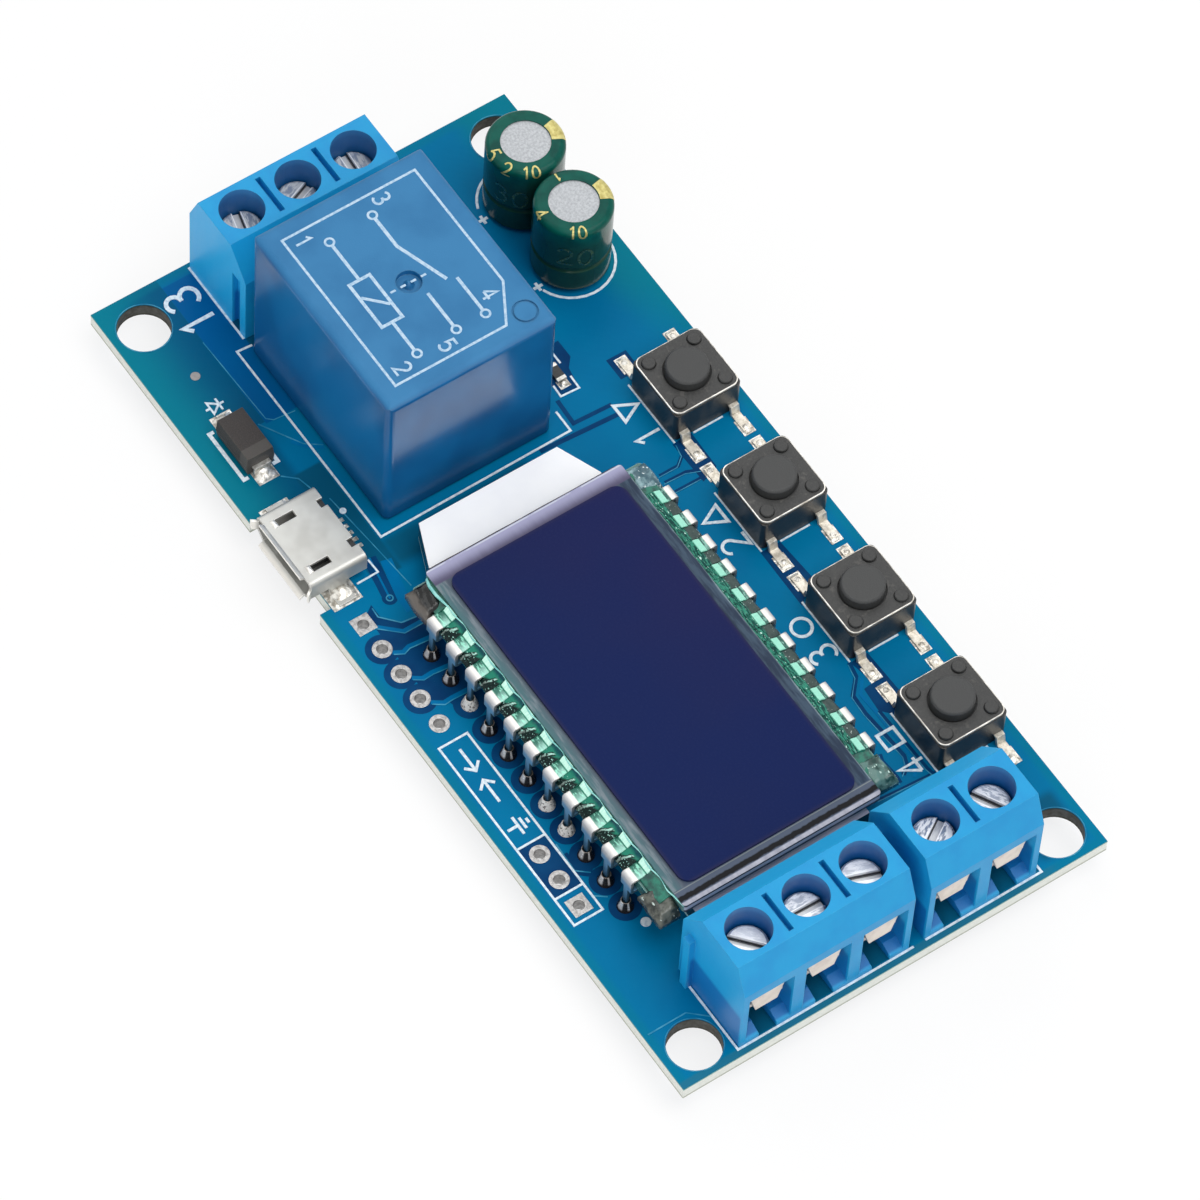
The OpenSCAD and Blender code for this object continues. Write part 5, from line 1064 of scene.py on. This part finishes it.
def facets():  # bright blocks of resin at the tip of each clip
    p = Paint("tipFacet")
    streak = p.noise(2.2, 2, 0.5, (3, 0.8, 1))
    tone = p.fade(streak, 0.4, 0.62, resin["mint"], resin["tip"])
    tone = p.mix(p.y > displayMiddle, tone, p.mix(streak, resin["mintDeep"], resin["farTip"]))
    tone = p.mix(1 - p.smooth(p.up, 0.5, 0.8), tone, p.mix(streak, resin["green"], resin["tipSide"]))
    shine = p.finish(tone, 0.14 + 0.1 * p.noise(3, 2), normal=p.soft(0.04), Coat_Weight=0.4, Coat_Roughness=0.05)
    mesh = bmesh.new()
    for k in range(pins["count"]):
        x = pins["first"] + pins["pitch"] * k
        for side, key in ((-1, "near"), (1, "far")):
            inner, outer, innerTop, outerTop = crystal[key]
            middle = ((inner + outer) / 2, (innerTop + outerTop) / 2 + 0.02)
            rows = []
            for out, top in ((inner, innerTop - 0.06), (inner + 0.05, innerTop), middle,
                             (outer - 0.04, outerTop), (outer, outerTop - 0.08)):
                skew = (out - inner) * crystal["lean"]
                rows.append([(x + a * crystal["half"] + skew, displayMiddle + side * out,
                              boardTop + top - crystal["chamfer"] * (abs(a) == 1)) for a in (-1, -0.92, 0.92, 1)])
            hump(mesh, rows, boardTop + crystal["foot"])
    place("tipFacets", mesh, shine, "resin")


pool = {"reach": 10.48, "top": 4.74, "fall": 0.42, "fallReach": 10.05, "foot": 3.75, "bend": 10.1, "clear": 0.02,
        "stripHalf": 0.64, "stripFall": 0.2, "stripFoot": 4.1, "start": 0.03}


def gapResin():  # drawn-up resin between the clips
    p = Paint("gapGlass")
    gap, reach = pinPlace(p)
    lump = p.noise(2.2, 3, 0.6)
    fine = p.noise(6, 2)
    near = p.fade(reach + lump * 0.3, 9.3, 9.65, resin["pool"], resin["poolPale"])
    near = p.fade(reach + gap * 0.5 + lump * 0.2, 9.75, 10.0, near, resin["black"])
    sway = p.noise(0.42, 1, 0.5, (1, 0, 0)) - 0.5
    lean = gap + (reach - 10) * (0.62 + sway) + lump * 0.3 + sway * 0.9  # pale bar across the gap, never quite alike
    outward = p.smooth(reach, 9.4, 9.55)
    near = p.mix(p.band(lean, -0.2, 0.18, 0.05) * outward, near, resin["black"])
    pale = p.fade(reach, 9.6, 10.3, resin["bar"], resin["barDull"])
    near = p.mix(p.band(lean, -0.11, 0.06, 0.05) * outward * p.smooth(fine, 0.35, 0.5), near, pale)
    # painted highlights in small mint spots
    near = p.mix(p.smooth(fine, 0.6, 0.7) * p.smooth(reach, 9.6, 9.8), near, resin["speck"])
    streak = p.noise(2.4, 3, 0.65, (0.7, 3.2, 1))
    farIn = p.fade(streak, 0.42, 0.6, resin["greenDeep"], resin["farGreen"])
    farIn = p.fade(p.noise(3.4, 2, 0.6, (1, 2, 1)), 0.64, 0.7, farIn, resin["farGlint"])
    farOut = p.mix(lump, resin["farDark"], resin["farGrey"])
    # painted highlights in small white spots
    farOut = p.fade(fine, 0.66, 0.74, farOut, resin["farSparkle"])
    far = p.fade(reach + lump * 0.2, 9.45, 9.65, farIn, farOut)
    tone = p.mix(p.y > displayMiddle, near, far)
    shine = p.finish(tone, 0.07 + 0.1 * lump, normal=p.bump(lump * 0.7 + fine * 0.3, 0.14),
                     Specular_IOR_Level=0.12, Coat_Weight=0.06, Coat_Roughness=0.05)
    mesh = bmesh.new()
    inner = {-1: displayMiddle - glassLow[1], 1: glassHigh[1] - displayMiddle}
    for side in (-1, 1):
        for k in range(pins["count"] - 1):
            def drawn(a, b):
                out = inner[side] + pool["start"] + (pool["reach"] - inner[side]) * b
                slope = pool["top"] - pool["fall"] * (out - inner[side]) / (pool["fallReach"] - inner[side])
                ripple = math.sin(7 * a + 3.1 * out + k * 1.7) * min(1, 6 * a, 6 * (1 - a))
                swell = 0.06 * math.sin(math.pi * a) + 0.05 * ripple
                drop = max(0, out - pool["bend"])
                x = pins["first"] + pins["pitch"] * k + pins["half"] + pool["clear"]
                x += a * (pins["pitch"] - 2 * (pins["half"] + pool["clear"]))
                return x, displayMiddle + side * out, boardTop + slope + swell - 2.2 * drop * drop

            hump(mesh, grid(8, 14, drawn), boardTop + pool["foot"])
    for k in range(pins["count"]):
        def strip(a, b):  # between the far facets and the plate
            out = inner[1] + pool["start"] + (crystal["far"][0] - inner[1]) * b
            wave = 0.05 * math.sin(18.4 * a + 11.4 * b + k)
            return (pins["first"] + pins["pitch"] * k + (2 * a - 1) * pool["stripHalf"], displayMiddle + out,
                    boardTop + pool["top"] - pool["stripFall"] * b + wave)

        hump(mesh, grid(8, 6, strip), boardTop + pool["stripFoot"])
    place("gapResin", mesh, shine, "resin", smooth=True)


edge = {
    "tone": linear(150, 218, 212), "toneDeep": linear(112, 190, 186), "height": 4.78,
    "start": -1.3, "length": 28.6, "steps": 150,
    "lead": [(-5.0, -11.55, 3.1, 0.05), (-4.45, -12.0, 4.2, 0.08), (-4.1, -12.28, 4.78, 0.11),  # place and radius
             (-3.5, -12.44, 4.78, 0.14), (-2.6, -12.44, 4.78, 0.14), (-1.8, -12.32, 4.78, 0.1),
             (-1.3, -12.24, 4.78, 0.06)],
    "tail": [(27.9, -0.05, 0, 0.07), (28.5, 0.02, 0, 0.08), (28.95, 0.06, 0.05, 0.06)],  # from the plate's edge
}


def edgeBead():  # thin line of resin that waves along the front plate's near edge
    p = Paint("edgeLine")
    glow = p.noise(1.1, 2)
    tone = p.fade(glow, 0.35, 0.65, edge["tone"], edge["toneDeep"])
    shine = p.finish(tone, 0.12 + 0.08 * glow, normal=p.bump(p.noise(3, 2), 0.02), Coat_Weight=0.4)
    z = boardTop + edge["height"]
    run = [(x, y, boardTop + height, radius) for x, y, height, radius in edge["lead"]]
    for k in range(1, edge["steps"] + 1):
        x = edge["start"] + edge["length"] * k / edge["steps"]
        phase = 2 * math.pi * (x - pins["first"]) / pins["pitch"]
        run.append((x, glassLow[1] - 0.11 - 0.075 * math.cos(phase - 0.6), z, 0.05 + 0.015 * math.sin(phase)))
    run += [(x, glassLow[1] + y, z + height, radius) for x, y, height, radius in edge["tail"]]
    mesh = bmesh.new()
    bead(mesh, [spot[:3] for spot in run], [spot[3] for spot in run])
    place("edgeBead", mesh, shine, "resin", smooth=True)


lumps = {  # corner lumps: X and Y spans, top and foot over the board
    "nearRear": ((-4.45, -1.52), (-14.0, -12.16), 4.62, 3.1), "farRear": ((-4.3, -1.75), (5.5, 7.4), 4.7, 3.3),
    "nearFront": ((25.95, 28.9), (-14, -12.2), 4.35, 3.1), "farFront": ((25.7, 28.5), (5.5, 7.45), 4.7, 3.3),
}
lumpTones = {  # span of the swirl, span of the glints, dark, pale and glint
    "farRear": ((0.38, 0.6), (0.6, 0.68), linear(58, 92, 104), linear(140, 172, 178), linear(226, 238, 240)),
    "nearFront": ((0.4, 0.58), (0.63, 0.7), linear(40, 46, 44), linear(92, 95, 88), linear(190, 206, 200)),
    "farFront": ((0.4, 0.6), (0.62, 0.7), linear(26, 62, 58), linear(92, 128, 122), linear(196, 224, 214)),
    "nearRear": (linear(96, 91, 86), linear(20, 22, 22)),  # outer and inner tone
}


def resinEnds():  # lumps of resin at the four ends of the ledges
    p = Paint("resinLump")
    swirl = p.noise(0.9, 3, 0.6)
    fine = p.noise(2.6, 3, 0.6, shift=(4, 1, 0))
    looks = {"nearRear": p.fade(p.y + swirl * 0.9, -13.35, -12.9, *lumpTones["nearRear"])}
    for name in ("farRear", "nearFront", "farFront"):
        span, glints, dark, pale, glint = lumpTones[name]
        looks[name] = p.fade(fine, *glints, p.fade(swirl, *span, dark, pale), glint)
    farSide = p.y > displayMiddle
    rear, front = (p.mix(farSide, looks["near" + end], looks["far" + end]) for end in ("Rear", "Front"))
    tone = p.mix(p.x > 12, rear, front)
    shine = p.finish(tone, 0.07 + 0.12 * swirl, normal=p.bump(swirl * 0.6 + fine * 0.4, 0.1),
                     Specular_IOR_Level=0.3, Coat_Weight=0.15, Coat_Roughness=0.04)
    mesh = bmesh.new()
    for name, ((xLow, xHigh), (yLow, yHigh), top, foot) in lumps.items():
        side = -1 if name.startswith("near") else 1

        def lump(a, b):
            wave = 0.06 * math.sin(9 * a + 4 * b + side) + 0.05 * math.sin(13 * b + 5 * a + xLow)
            toGlass = b if side < 0 else 1 - b
            shrink = 0.06 * math.sin(6 * a + xLow) * (1 - toGlass)  # uneven outer edge
            inward = min(1, 7 * a, 7 * (1 - a), 5 * toGlass + 0.1)
            height = (top - foot) * (0.45 + 0.55 * inward) * (0.86 + 0.14 * toGlass) + wave * inward
            return (xLow + a * (xHigh - xLow), yLow + b * (yHigh - yLow) - side * shrink, boardTop + foot + height)

        hump(mesh, grid(16, 12, lump), boardTop + foot)
    place("resinLumps", mesh, shine, "resin", smooth=True)


shadowLine = {"brown": linear(62, 54, 54), "brownDeep": linear(34, 30, 32),
        "radius": 0.065, "start": -11.6, "end": 4.9, "steps": 60}


def rearShadowLine():  # dark line along the front plate's rear edge: a painted shadow
    p = Paint("shadowLineBrown")
    tint = p.noise(0.8, 2)
    tone = p.fade(tint, 0.35, 0.65, shadowLine["brown"], shadowLine["brownDeep"])
    shade = p.finish(tone, 0.3 + 0.1 * tint, normal=p.bump(p.noise(4, 2), 0.01), Specular_IOR_Level=0.2)
    points, radii = [], []
    for k in range(shadowLine["steps"] + 1):
        share = k / shadowLine["steps"]
        y = shadowLine["start"] + share * (shadowLine["end"] - shadowLine["start"])
        points.append((glassLow[0] - 0.05, y, glassHigh[2] - 0.07))
        radii.append(shadowLine["radius"] * (1.15 - 0.55 * share) * (1 + 0.15 * math.sin(23 * share)))
    mesh = bmesh.new()
    bead(mesh, points, radii)
    place("rearShadowLine", mesh, shade, "film", smooth=True)


facets()
gapResin()
edgeBead()
resinEnds()
rearShadowLine()
print("display done")

# buttons

button = {
    "cover": linear(37, 38, 38), "coverLight": linear(54, 54, 53), "dust": linear(92, 90, 86),
    "side": linear(190, 186, 176), "sideDull": linear(96, 92, 86), "base": linear(24, 24, 25),
    "baseLight": linear(42, 41, 41), "baseSheen": linear(74, 66, 58), "plunger": linear(46, 47, 47),
    "plungerLight": linear(59, 60, 60), "plungerGlint": linear(84, 84, 86),
    "rim": linear(238, 234, 226), "rimDull": linear(176, 170, 160), "half": 2.95, "corner": 0.7, "top": 3.45,
}


def coverPaint():
    p = Paint("coverPlate")
    grain = p.noise(14, 3)
    steep = 1 - p.smooth(p.up, 0.5, 0.9)
    tone = p.fade(grain, 0.35, 0.7, button["cover"], button["coverLight"])
    tone = p.fade(p.noise(1.6, 4, 0.7), 0.56, 0.7, tone, button["dust"], 0.45)
    tone = p.mix(steep, tone, p.mix(p.noise(2, 2), button["side"], button["sideDull"]))
    return p.finish(tone, 0.5 - 0.18 * steep, steep * 0.6, p.bump(grain, 0.02, p.soft(0.06)))


def basePaint():
    p = Paint("buttonBase")
    grain = p.noise(12, 3)
    tone = p.fade(grain, 0.35, 0.7, button["base"], button["baseLight"])
    tone = p.fade(p.noise(0.6, 2, 0.5, (1, 1, 0.4)), 0.5, 0.7, tone, button["baseSheen"], 0.5)
    stake = p.smooth(p.z, boardTop + 3.4, boardTop + 3.46)
    tone = p.mix(stake, tone, p.fade(grain, 0.35, 0.7, button["cover"], button["coverLight"]))
    return p.finish(tone, 0.32 + 0.16 * stake + 0.1 * grain, normal=p.bump(grain, 0.015, p.soft(0.12)))


def plungerPaint():
    p = Paint("plungerMoulding")
    grain = p.noise(15, 3)
    tone = p.fade(grain, 0.35, 0.7, button["plunger"], button["plungerLight"])
    # painted highlight along the edges
    tone = p.mix(p.edgeHighlight(0.2) * 0.4, tone, button["plungerGlint"])
    return p.finish(tone, 0.5 + 0.12 * grain, normal=p.bump(grain, 0.025, p.soft(0.2)))


dress(coverPaint(), "button_covers")
dress(basePaint(), "button_bases")
dress(plungerPaint(), "plunger_1", "plunger_2", "plunger_3", "plunger_4")


def coverRims():  # bare metal along the sheared top edge of each cover, with a painted highlight that makes it wider along the front edges
    p = Paint("bareEdgeAndGlint")
    tone = p.fade(p.noise(1.3, 2), 0.35, 0.7, button["rim"], button["rimDull"])
    shine = p.finish(tone, 0.24 + 0.15 * p.noise(4, 2), 0.4)
    s = Sheet(boardTop + button["top"] - 0.09, boardTop + button["top"] + 0.004)
    corner = button["corner"] - 0.03
    reach = button["half"] - button["corner"]

    def turnAt(x, y, across, along, start):  # points round one corner
        return bow((x + across * reach, y + along * reach), (corner, corner), start, start + 90, 6)

    for x, y in boardInk["buttons"]:
        front = turnAt(x, y, -1, -1, 180) + turnAt(x, y, 1, -1, 270) + turnAt(x, y, 1, 1, 0)
        # wider along the front edges as a painted highlight
        s.line(front, 0.085)
        s.line([front[-1]] + turnAt(x, y, -1, 1, 90) + [front[0]], 0.04)
    s.piece("coverRims", shine, "button_cover")


coverRims()
print("buttons done")

# capacitors

can = {
    "centres": [(-30.9, 14.5), (-24.4, 14.5)], "radius": 3.1, "top": boardTop + 8.0, "rim": 0.65, "bend": 0.5,
    # the lower tone is painted shade down the sleeve's side; the shoulder tone is a painted highlight
    "green": linear(8, 88, 76), "greenDeep": linear(4, 70, 62), "lower": linear(30, 54, 38),
    "shoulder": linear(40, 110, 96), "metal": linear(184, 187, 190), "metalDull": linear(158, 161, 165),
    "rubber": (linear(30, 30, 30), linear(44, 44, 43)), "gold": linear(206, 196, 126), "goldDeep": linear(170, 156, 84),
    "dimGold": linear(66, 84, 36), "dimDeep": linear(22, 60, 44),
    "marks": [[("5", -98, 0.85, 1.25), ("2", -64, 1.0, 1.15), ("1", -33, 0.95, 1.05), ("0", -18, 0.95, 1.05)],
              [("4", -98, 0.85, 1.15), ("1", -36, 0.95, 1.05), ("0", -21, 0.95, 1.05), ("1", 176, 0.5, 0.7)]],
    "dimMarks": [[("3", -70, 4.2, 1.9), ("0", -40, 4.4, 1.9)], [("2", -45, 4.0, 1.9), ("0", -15, 4.2, 1.9)]],
    "stripe": (62, 102, 0.02, 1.3), "dashes": [(72, 92, 2.2 + 1.6 * step, 3.1 + 1.6 * step) for step in range(3)],
}


def sleevePaint():
    p = Paint("sleeveFilm")
    tone = p.fade(p.noise(0.7, 3), 0.35, 0.7, can["green"], can["greenDeep"])
    roof = p.smooth(p.up, 0.3, 0.8)
    # painted shade down the sleeve's side, below the lit top
    tone = p.fade(p.z, boardTop + 7.6, boardTop + 5.5, tone, can["lower"], 0.75)
    # painted highlight along the shoulder's edge
    tone = p.mix(p.edgeHighlight(0.2, 0.02, 0.3) * 0.2, tone, can["shoulder"])
    ripple = p.bump(p.noise(1.2, 2, stretch=(1, 1, 0.3)), 0.04, p.soft(0.1))
    return p.finish(tone, 0.16 + 0.1 * p.noise(3, 2), normal=ripple,
                    Specular_IOR_Level=0.12, Coat_Weight=0.28 * (1 - roof))


def canPaint():
    p = Paint("canTop")
    grain = p.noise(5, 4, 0.7)
    tone = p.fade(grain, 0.35, 0.65, can["metal"], can["metalDull"])
    return p.finish(tone, 0.42 + 0.15 * grain, 0.35, p.bump(grain, 0.012))


dress(sleevePaint(), "capacitor_sleeves")
dress(canPaint(), "capacitor_cans")
dress(plainMoulding("bungRubber", can["rubber"], 3, 0.6, 5, 8, 0.02), "capacitor_bungs")


def sleeveProfile(s):  # radius and height at a distance from the rim's inner edge, over the shoulder and down
    flat, bend = can["rim"], can["bend"]
    if s < flat:
        return can["radius"] - bend - flat + s, can["top"]
    if s < flat + bend * math.pi / 2:
        a = (s - flat) / bend
        return can["radius"] - bend + bend * math.sin(a), can["top"] - bend + bend * math.cos(a)
    return can["radius"], can["top"] - bend - (s - flat - bend * math.pi / 2)


class Wrap:  # ink laid over a sleeve, by angle and distance from the rim
    def __init__(self):
        self.mesh, self.lift = bmesh.new(), 0.012

    def spot(self, centre, angle, s):
        radius, height = sleeveProfile(s)
        a, out = math.radians(angle), radius + self.lift
        point = Vector((centre[0] + out * math.cos(a), centre[1] + out * math.sin(a), height + self.lift))
        return self.mesh.verts.new(point * mm)

    def join(self, rows):
        for first, second in zip(rows, rows[1:]):
            for i in range(len(first) - 1):
                self.mesh.faces.new((first[i], first[i + 1], second[i + 1], second[i]))
        self.lift += 0.0002

    def patch(self, centre, start, end, near, far):
        self.join(grid(10, 10, lambda a, b: self.spot(centre, start + (end - start) * a, near + (far - near) * b)))

    def glyph(self, centre, strokes, angle, s, size, width):  # head of the glyph towards the rim
        turn = math.degrees(1 / can["radius"])
        for stroke in strokes:
            spots = [Vector(((px - 0.3) * size, (0.5 - py) * size)) for px, py in stroke]
            for here, there in zip(spots, spots[1:]):
                way = (there - here).normalized()
                side = Vector((-way.y, way.x)) * width / 2
                here, there = here - way * width * 0.3, there + way * width * 0.3
                steps = max(2, int((there - here).length / 0.12))
                rows = []
                for k in range(steps + 1):
                    points = [here + (there - here) * k / steps + side * e for e in (-1, 0, 1)]
                    rows.append([self.spot(centre, angle + p.x * turn, max(0.02, s + p.y)) for p in points])
                self.join(rows)

    def piece(self, name, material):
        return place(name, self.mesh, material, "sleeve_green", smooth=True)


def capacitorMarks():
    p = Paint("goldInk")
    tone = p.fade(p.noise(3, 3), 0.35, 0.7, can["gold"], can["goldDeep"])
    ink = p.finish(tone, 0.3 + 0.1 * p.noise(5, 2), 0.3, p.bump(p.noise(6, 2), 0.006))
    p = Paint("dimInk")
    tone = p.fade(p.noise(2, 3), 0.35, 0.65, can["dimGold"], can["dimDeep"])
    dim = p.finish(tone, 0.22 + 0.1 * p.noise(5, 2), Coat_Weight=0.4)
    gold, faint = Wrap(), Wrap()
    for k, centre in enumerate(can["centres"]):
        gold.patch(centre, *can["stripe"])  # light field of the polarity stripe, on the rim
        for dash in can["dashes"]:
            faint.patch(centre, *dash)
        for digit, *drawn in can["marks"][k]:
            gold.glyph(centre, digits[digit], *drawn, 0.16)
        for digit, *drawn in can["dimMarks"][k]:
            faint.glyph(centre, digits[digit], *drawn, 0.22)
    gold.piece("sleeveMarks", ink)
    faint.piece("sleeveFaintMarks", dim)


capacitorMarks()
print("capacitors done")

# diode, socket and chips

diodeEnd = boxOf("diode_body")[1][0]
diode = {"body": linear(44, 39, 37), "bodyLight": linear(60, 54, 50), "band": linear(74, 70, 66),
         "edge": linear(104, 98, 92), "bandWidth": 0.95}
chip = {"body": linear(34, 34, 35), "bodyLight": linear(52, 52, 52)}
socket = {
    "nickel": linear(190, 190, 185), "nickelDull": linear(176, 175, 170), "lip": linear(236, 233, 226),
    "edge": linear(255, 253, 248), "insert": linear(26, 26, 27), "insertLight": linear(46, 46, 46),
    "latch": linear(246, 244, 238), "latchDull": linear(206, 203, 196),
    "middle": -13, "top": boardTop + 2.6, "latchSpread": 2.37, "latchEnd": -18.1, "latchRise": 0.15,
}


def diodePaint():
    p = Paint("diodeMoulding")
    grain = p.noise(10, 3)
    tone = p.fade(grain, 0.35, 0.7, diode["body"], diode["bodyLight"])
    tone = p.mix(p.band(p.x, diodeEnd - diode["bandWidth"], diodeEnd + 1), tone, diode["band"])
    # painted highlight along the edges
    tone = p.mix(p.edgeHighlight(0.12) * 0.5, tone, diode["edge"])
    return p.finish(tone, 0.45 + 0.1 * grain, normal=p.bump(grain, 0.03, p.soft(0.1)), Specular_IOR_Level=0.35)


def chipPaint():
    p = Paint("chipMoulding")
    grain = p.noise(10, 3)
    tone = p.fade(grain, 0.35, 0.7, chip["body"], chip["bodyLight"])
    return p.finish(tone, 0.45 + 0.1 * grain, normal=p.bump(grain, 0.02, p.soft(0.05)))


def shellPaint():
    p = Paint("socketNickel")
    brush = p.noise(6, 2, 0.5, (4, 0.4, 1))
    tone = p.fade(p.noise(0.5, 2), 0.35, 0.7, socket["nickel"], socket["nickelDull"])
    tone = p.fade(p.y, -19, -19.3, tone, socket["lip"])  # flared lips, painted lighter as painted light on their shaded faces
    # painted highlight along the edges
    tone = p.mix(p.edgeHighlight(0.09, 0.02, 0.2) * 0.8, tone, socket["edge"])
    return p.finish(tone, 0.32 + 0.12 * brush, 0.5, p.bump(brush, 0.004, p.soft(0.08)))


def insertPaint():
    p = Paint("socketInsert")
    grain = p.noise(10, 3)
    tone = p.mix(grain, socket["insert"], socket["insertLight"])
    return p.finish(tone, 0.45 + 0.1 * grain, normal=p.bump(grain, 0.02))


def latchBumps():  # pressed bump at the front end of each latch slot, painted brighter than the shell as a painted highlight
    p = Paint("latchNickel")
    glint = p.noise(2, 2)
    tone = p.fade(glint, 0.4, 0.7, socket["latch"], socket["latchDull"])
    shine = p.finish(tone, 0.22 + 0.1 * glint, 0.45, p.bump(glint, 0.01))
    mesh = bmesh.new()
    for side in (-1, 1):
        def bulge(across, along):
            a, b = 2 * across - 1, 2 * along - 1
            rise = socket["latchRise"] * max(0, 1 - a * a) * max(0, 1 - b * b)
            return (socket["middle"] + side * socket["latchSpread"] + a * 0.36,
                    socket["latchEnd"] - 0.22 + b * 0.2, socket["top"] + 0.004 + rise)

        hump(mesh, grid(8, 8, bulge), socket["top"] - 0.05)
    place("latchBumps", mesh, shine, "nickel", smooth=True)


dress(diodePaint(), "diode_body")
dress(chipPaint(), "chip_bodies")
dress(shellPaint(), "usb_shell")
dress(insertPaint(), "usb_insert")
latchBumps()
print("small parts done")

# floor, light and camera

floor = {"size": 3, "shadowShare": 0.2, "paper": (0.88, 0.88, 0.88, 1), "drop": 0.0002}
studio = {"sky": 0.47, "white": (1, 1, 1, 1), "aim": (0, 0, 0.005),
          "lamps": [("softTop", 2.4, 0.5, (0.16, 0.1, 0.6)), ("softFront", 1.2, 0.4, (0.38, -0.45, 0.3)),
                    ("softBack", 0.9, 0.5, (-0.45, 0.12, 0.5))]}  # watts, size and place
view = {"azimuth": 51.882, "elevation": 58.475, "roll": 4.474, "lens": 246.1, "distance": 611.33,
        "aim": (0.695, -1.96), "lift": (-0.3, 0, boardTop)}


def stage():
    mesh = bmesh.new()
    bmesh.ops.create_grid(mesh, x_segments=8, y_segments=8, size=floor["size"] / 2)
    data = bpy.data.meshes.new("floor")
    mesh.to_mesh(data)
    mesh.free()
    made = bpy.data.objects.new("floor", data)
    made.location.z = cadBox[0][2] - floor["drop"]
    bpy.context.scene.collection.objects.link(made)
    p = Paint("floorPaper")
    paper = p.node("ShaderNodeBsdfDiffuse", values={"Color": floor["paper"]})
    glow = p.node("ShaderNodeEmission", values={"Color": studio["white"], "Strength": 1})
    share = p.seen() * (1 - floor["shadowShare"])
    data.materials.append(p.close(p.node("ShaderNodeMixShader", values={0: share, 1: paper, 2: glow})))


def sky():
    p = Paint("studio", world=True)
    light, white = (p.node("ShaderNodeBackground", values={0: studio["white"], 1: strength})
                    for strength in (studio["sky"], 1))
    both = p.node("ShaderNodeMixShader", values={0: p.seen(), 1: light, 2: white})
    bpy.context.scene.world = p.close(both, "ShaderNodeOutputWorld")


def lamp(name, watts, size, spot):
    data = bpy.data.lights.new(name, "AREA")
    data.energy, data.size = watts, size
    made = bpy.data.objects.new(name, data)
    made.location = spot
    made.rotation_euler = (Vector(studio["aim"]) - Vector(spot)).to_track_quat("-Z", "Y").to_euler()
    bpy.context.scene.collection.objects.link(made)


def camera():
    az, el, roll = (math.radians(view[key]) for key in ("azimuth", "elevation", "roll"))
    back = Vector((math.sin(az) * math.cos(el), -math.cos(az) * math.cos(el), math.sin(el)))
    right = Vector((math.cos(az), math.sin(az), 0))
    up = back.cross(right)
    across = right * math.cos(roll) + up * math.sin(roll)
    above = up * math.cos(roll) - right * math.sin(roll)
    spot = across * view["aim"][0] + above * view["aim"][1] + back * view["distance"] + Vector(view["lift"])
    data = bpy.data.cameras.new("view")
    data.lens, data.sensor_width, data.sensor_fit = view["lens"], 36, "HORIZONTAL"
    data.clip_start, data.clip_end = 0.01, 10
    made = bpy.data.objects.new("view", data)
    made.matrix_world = Matrix.Translation(spot * mm) @ Matrix((across, above, back)).transposed().to_4x4()
    bpy.context.scene.collection.objects.link(made)
    bpy.context.scene.camera = made


stage()
sky()
for name, watts, size, spot in studio["lamps"]:
    lamp(name, watts, size, spot)
camera()
bpy.context.scene.view_settings.view_transform = "Standard"
print("stage set")
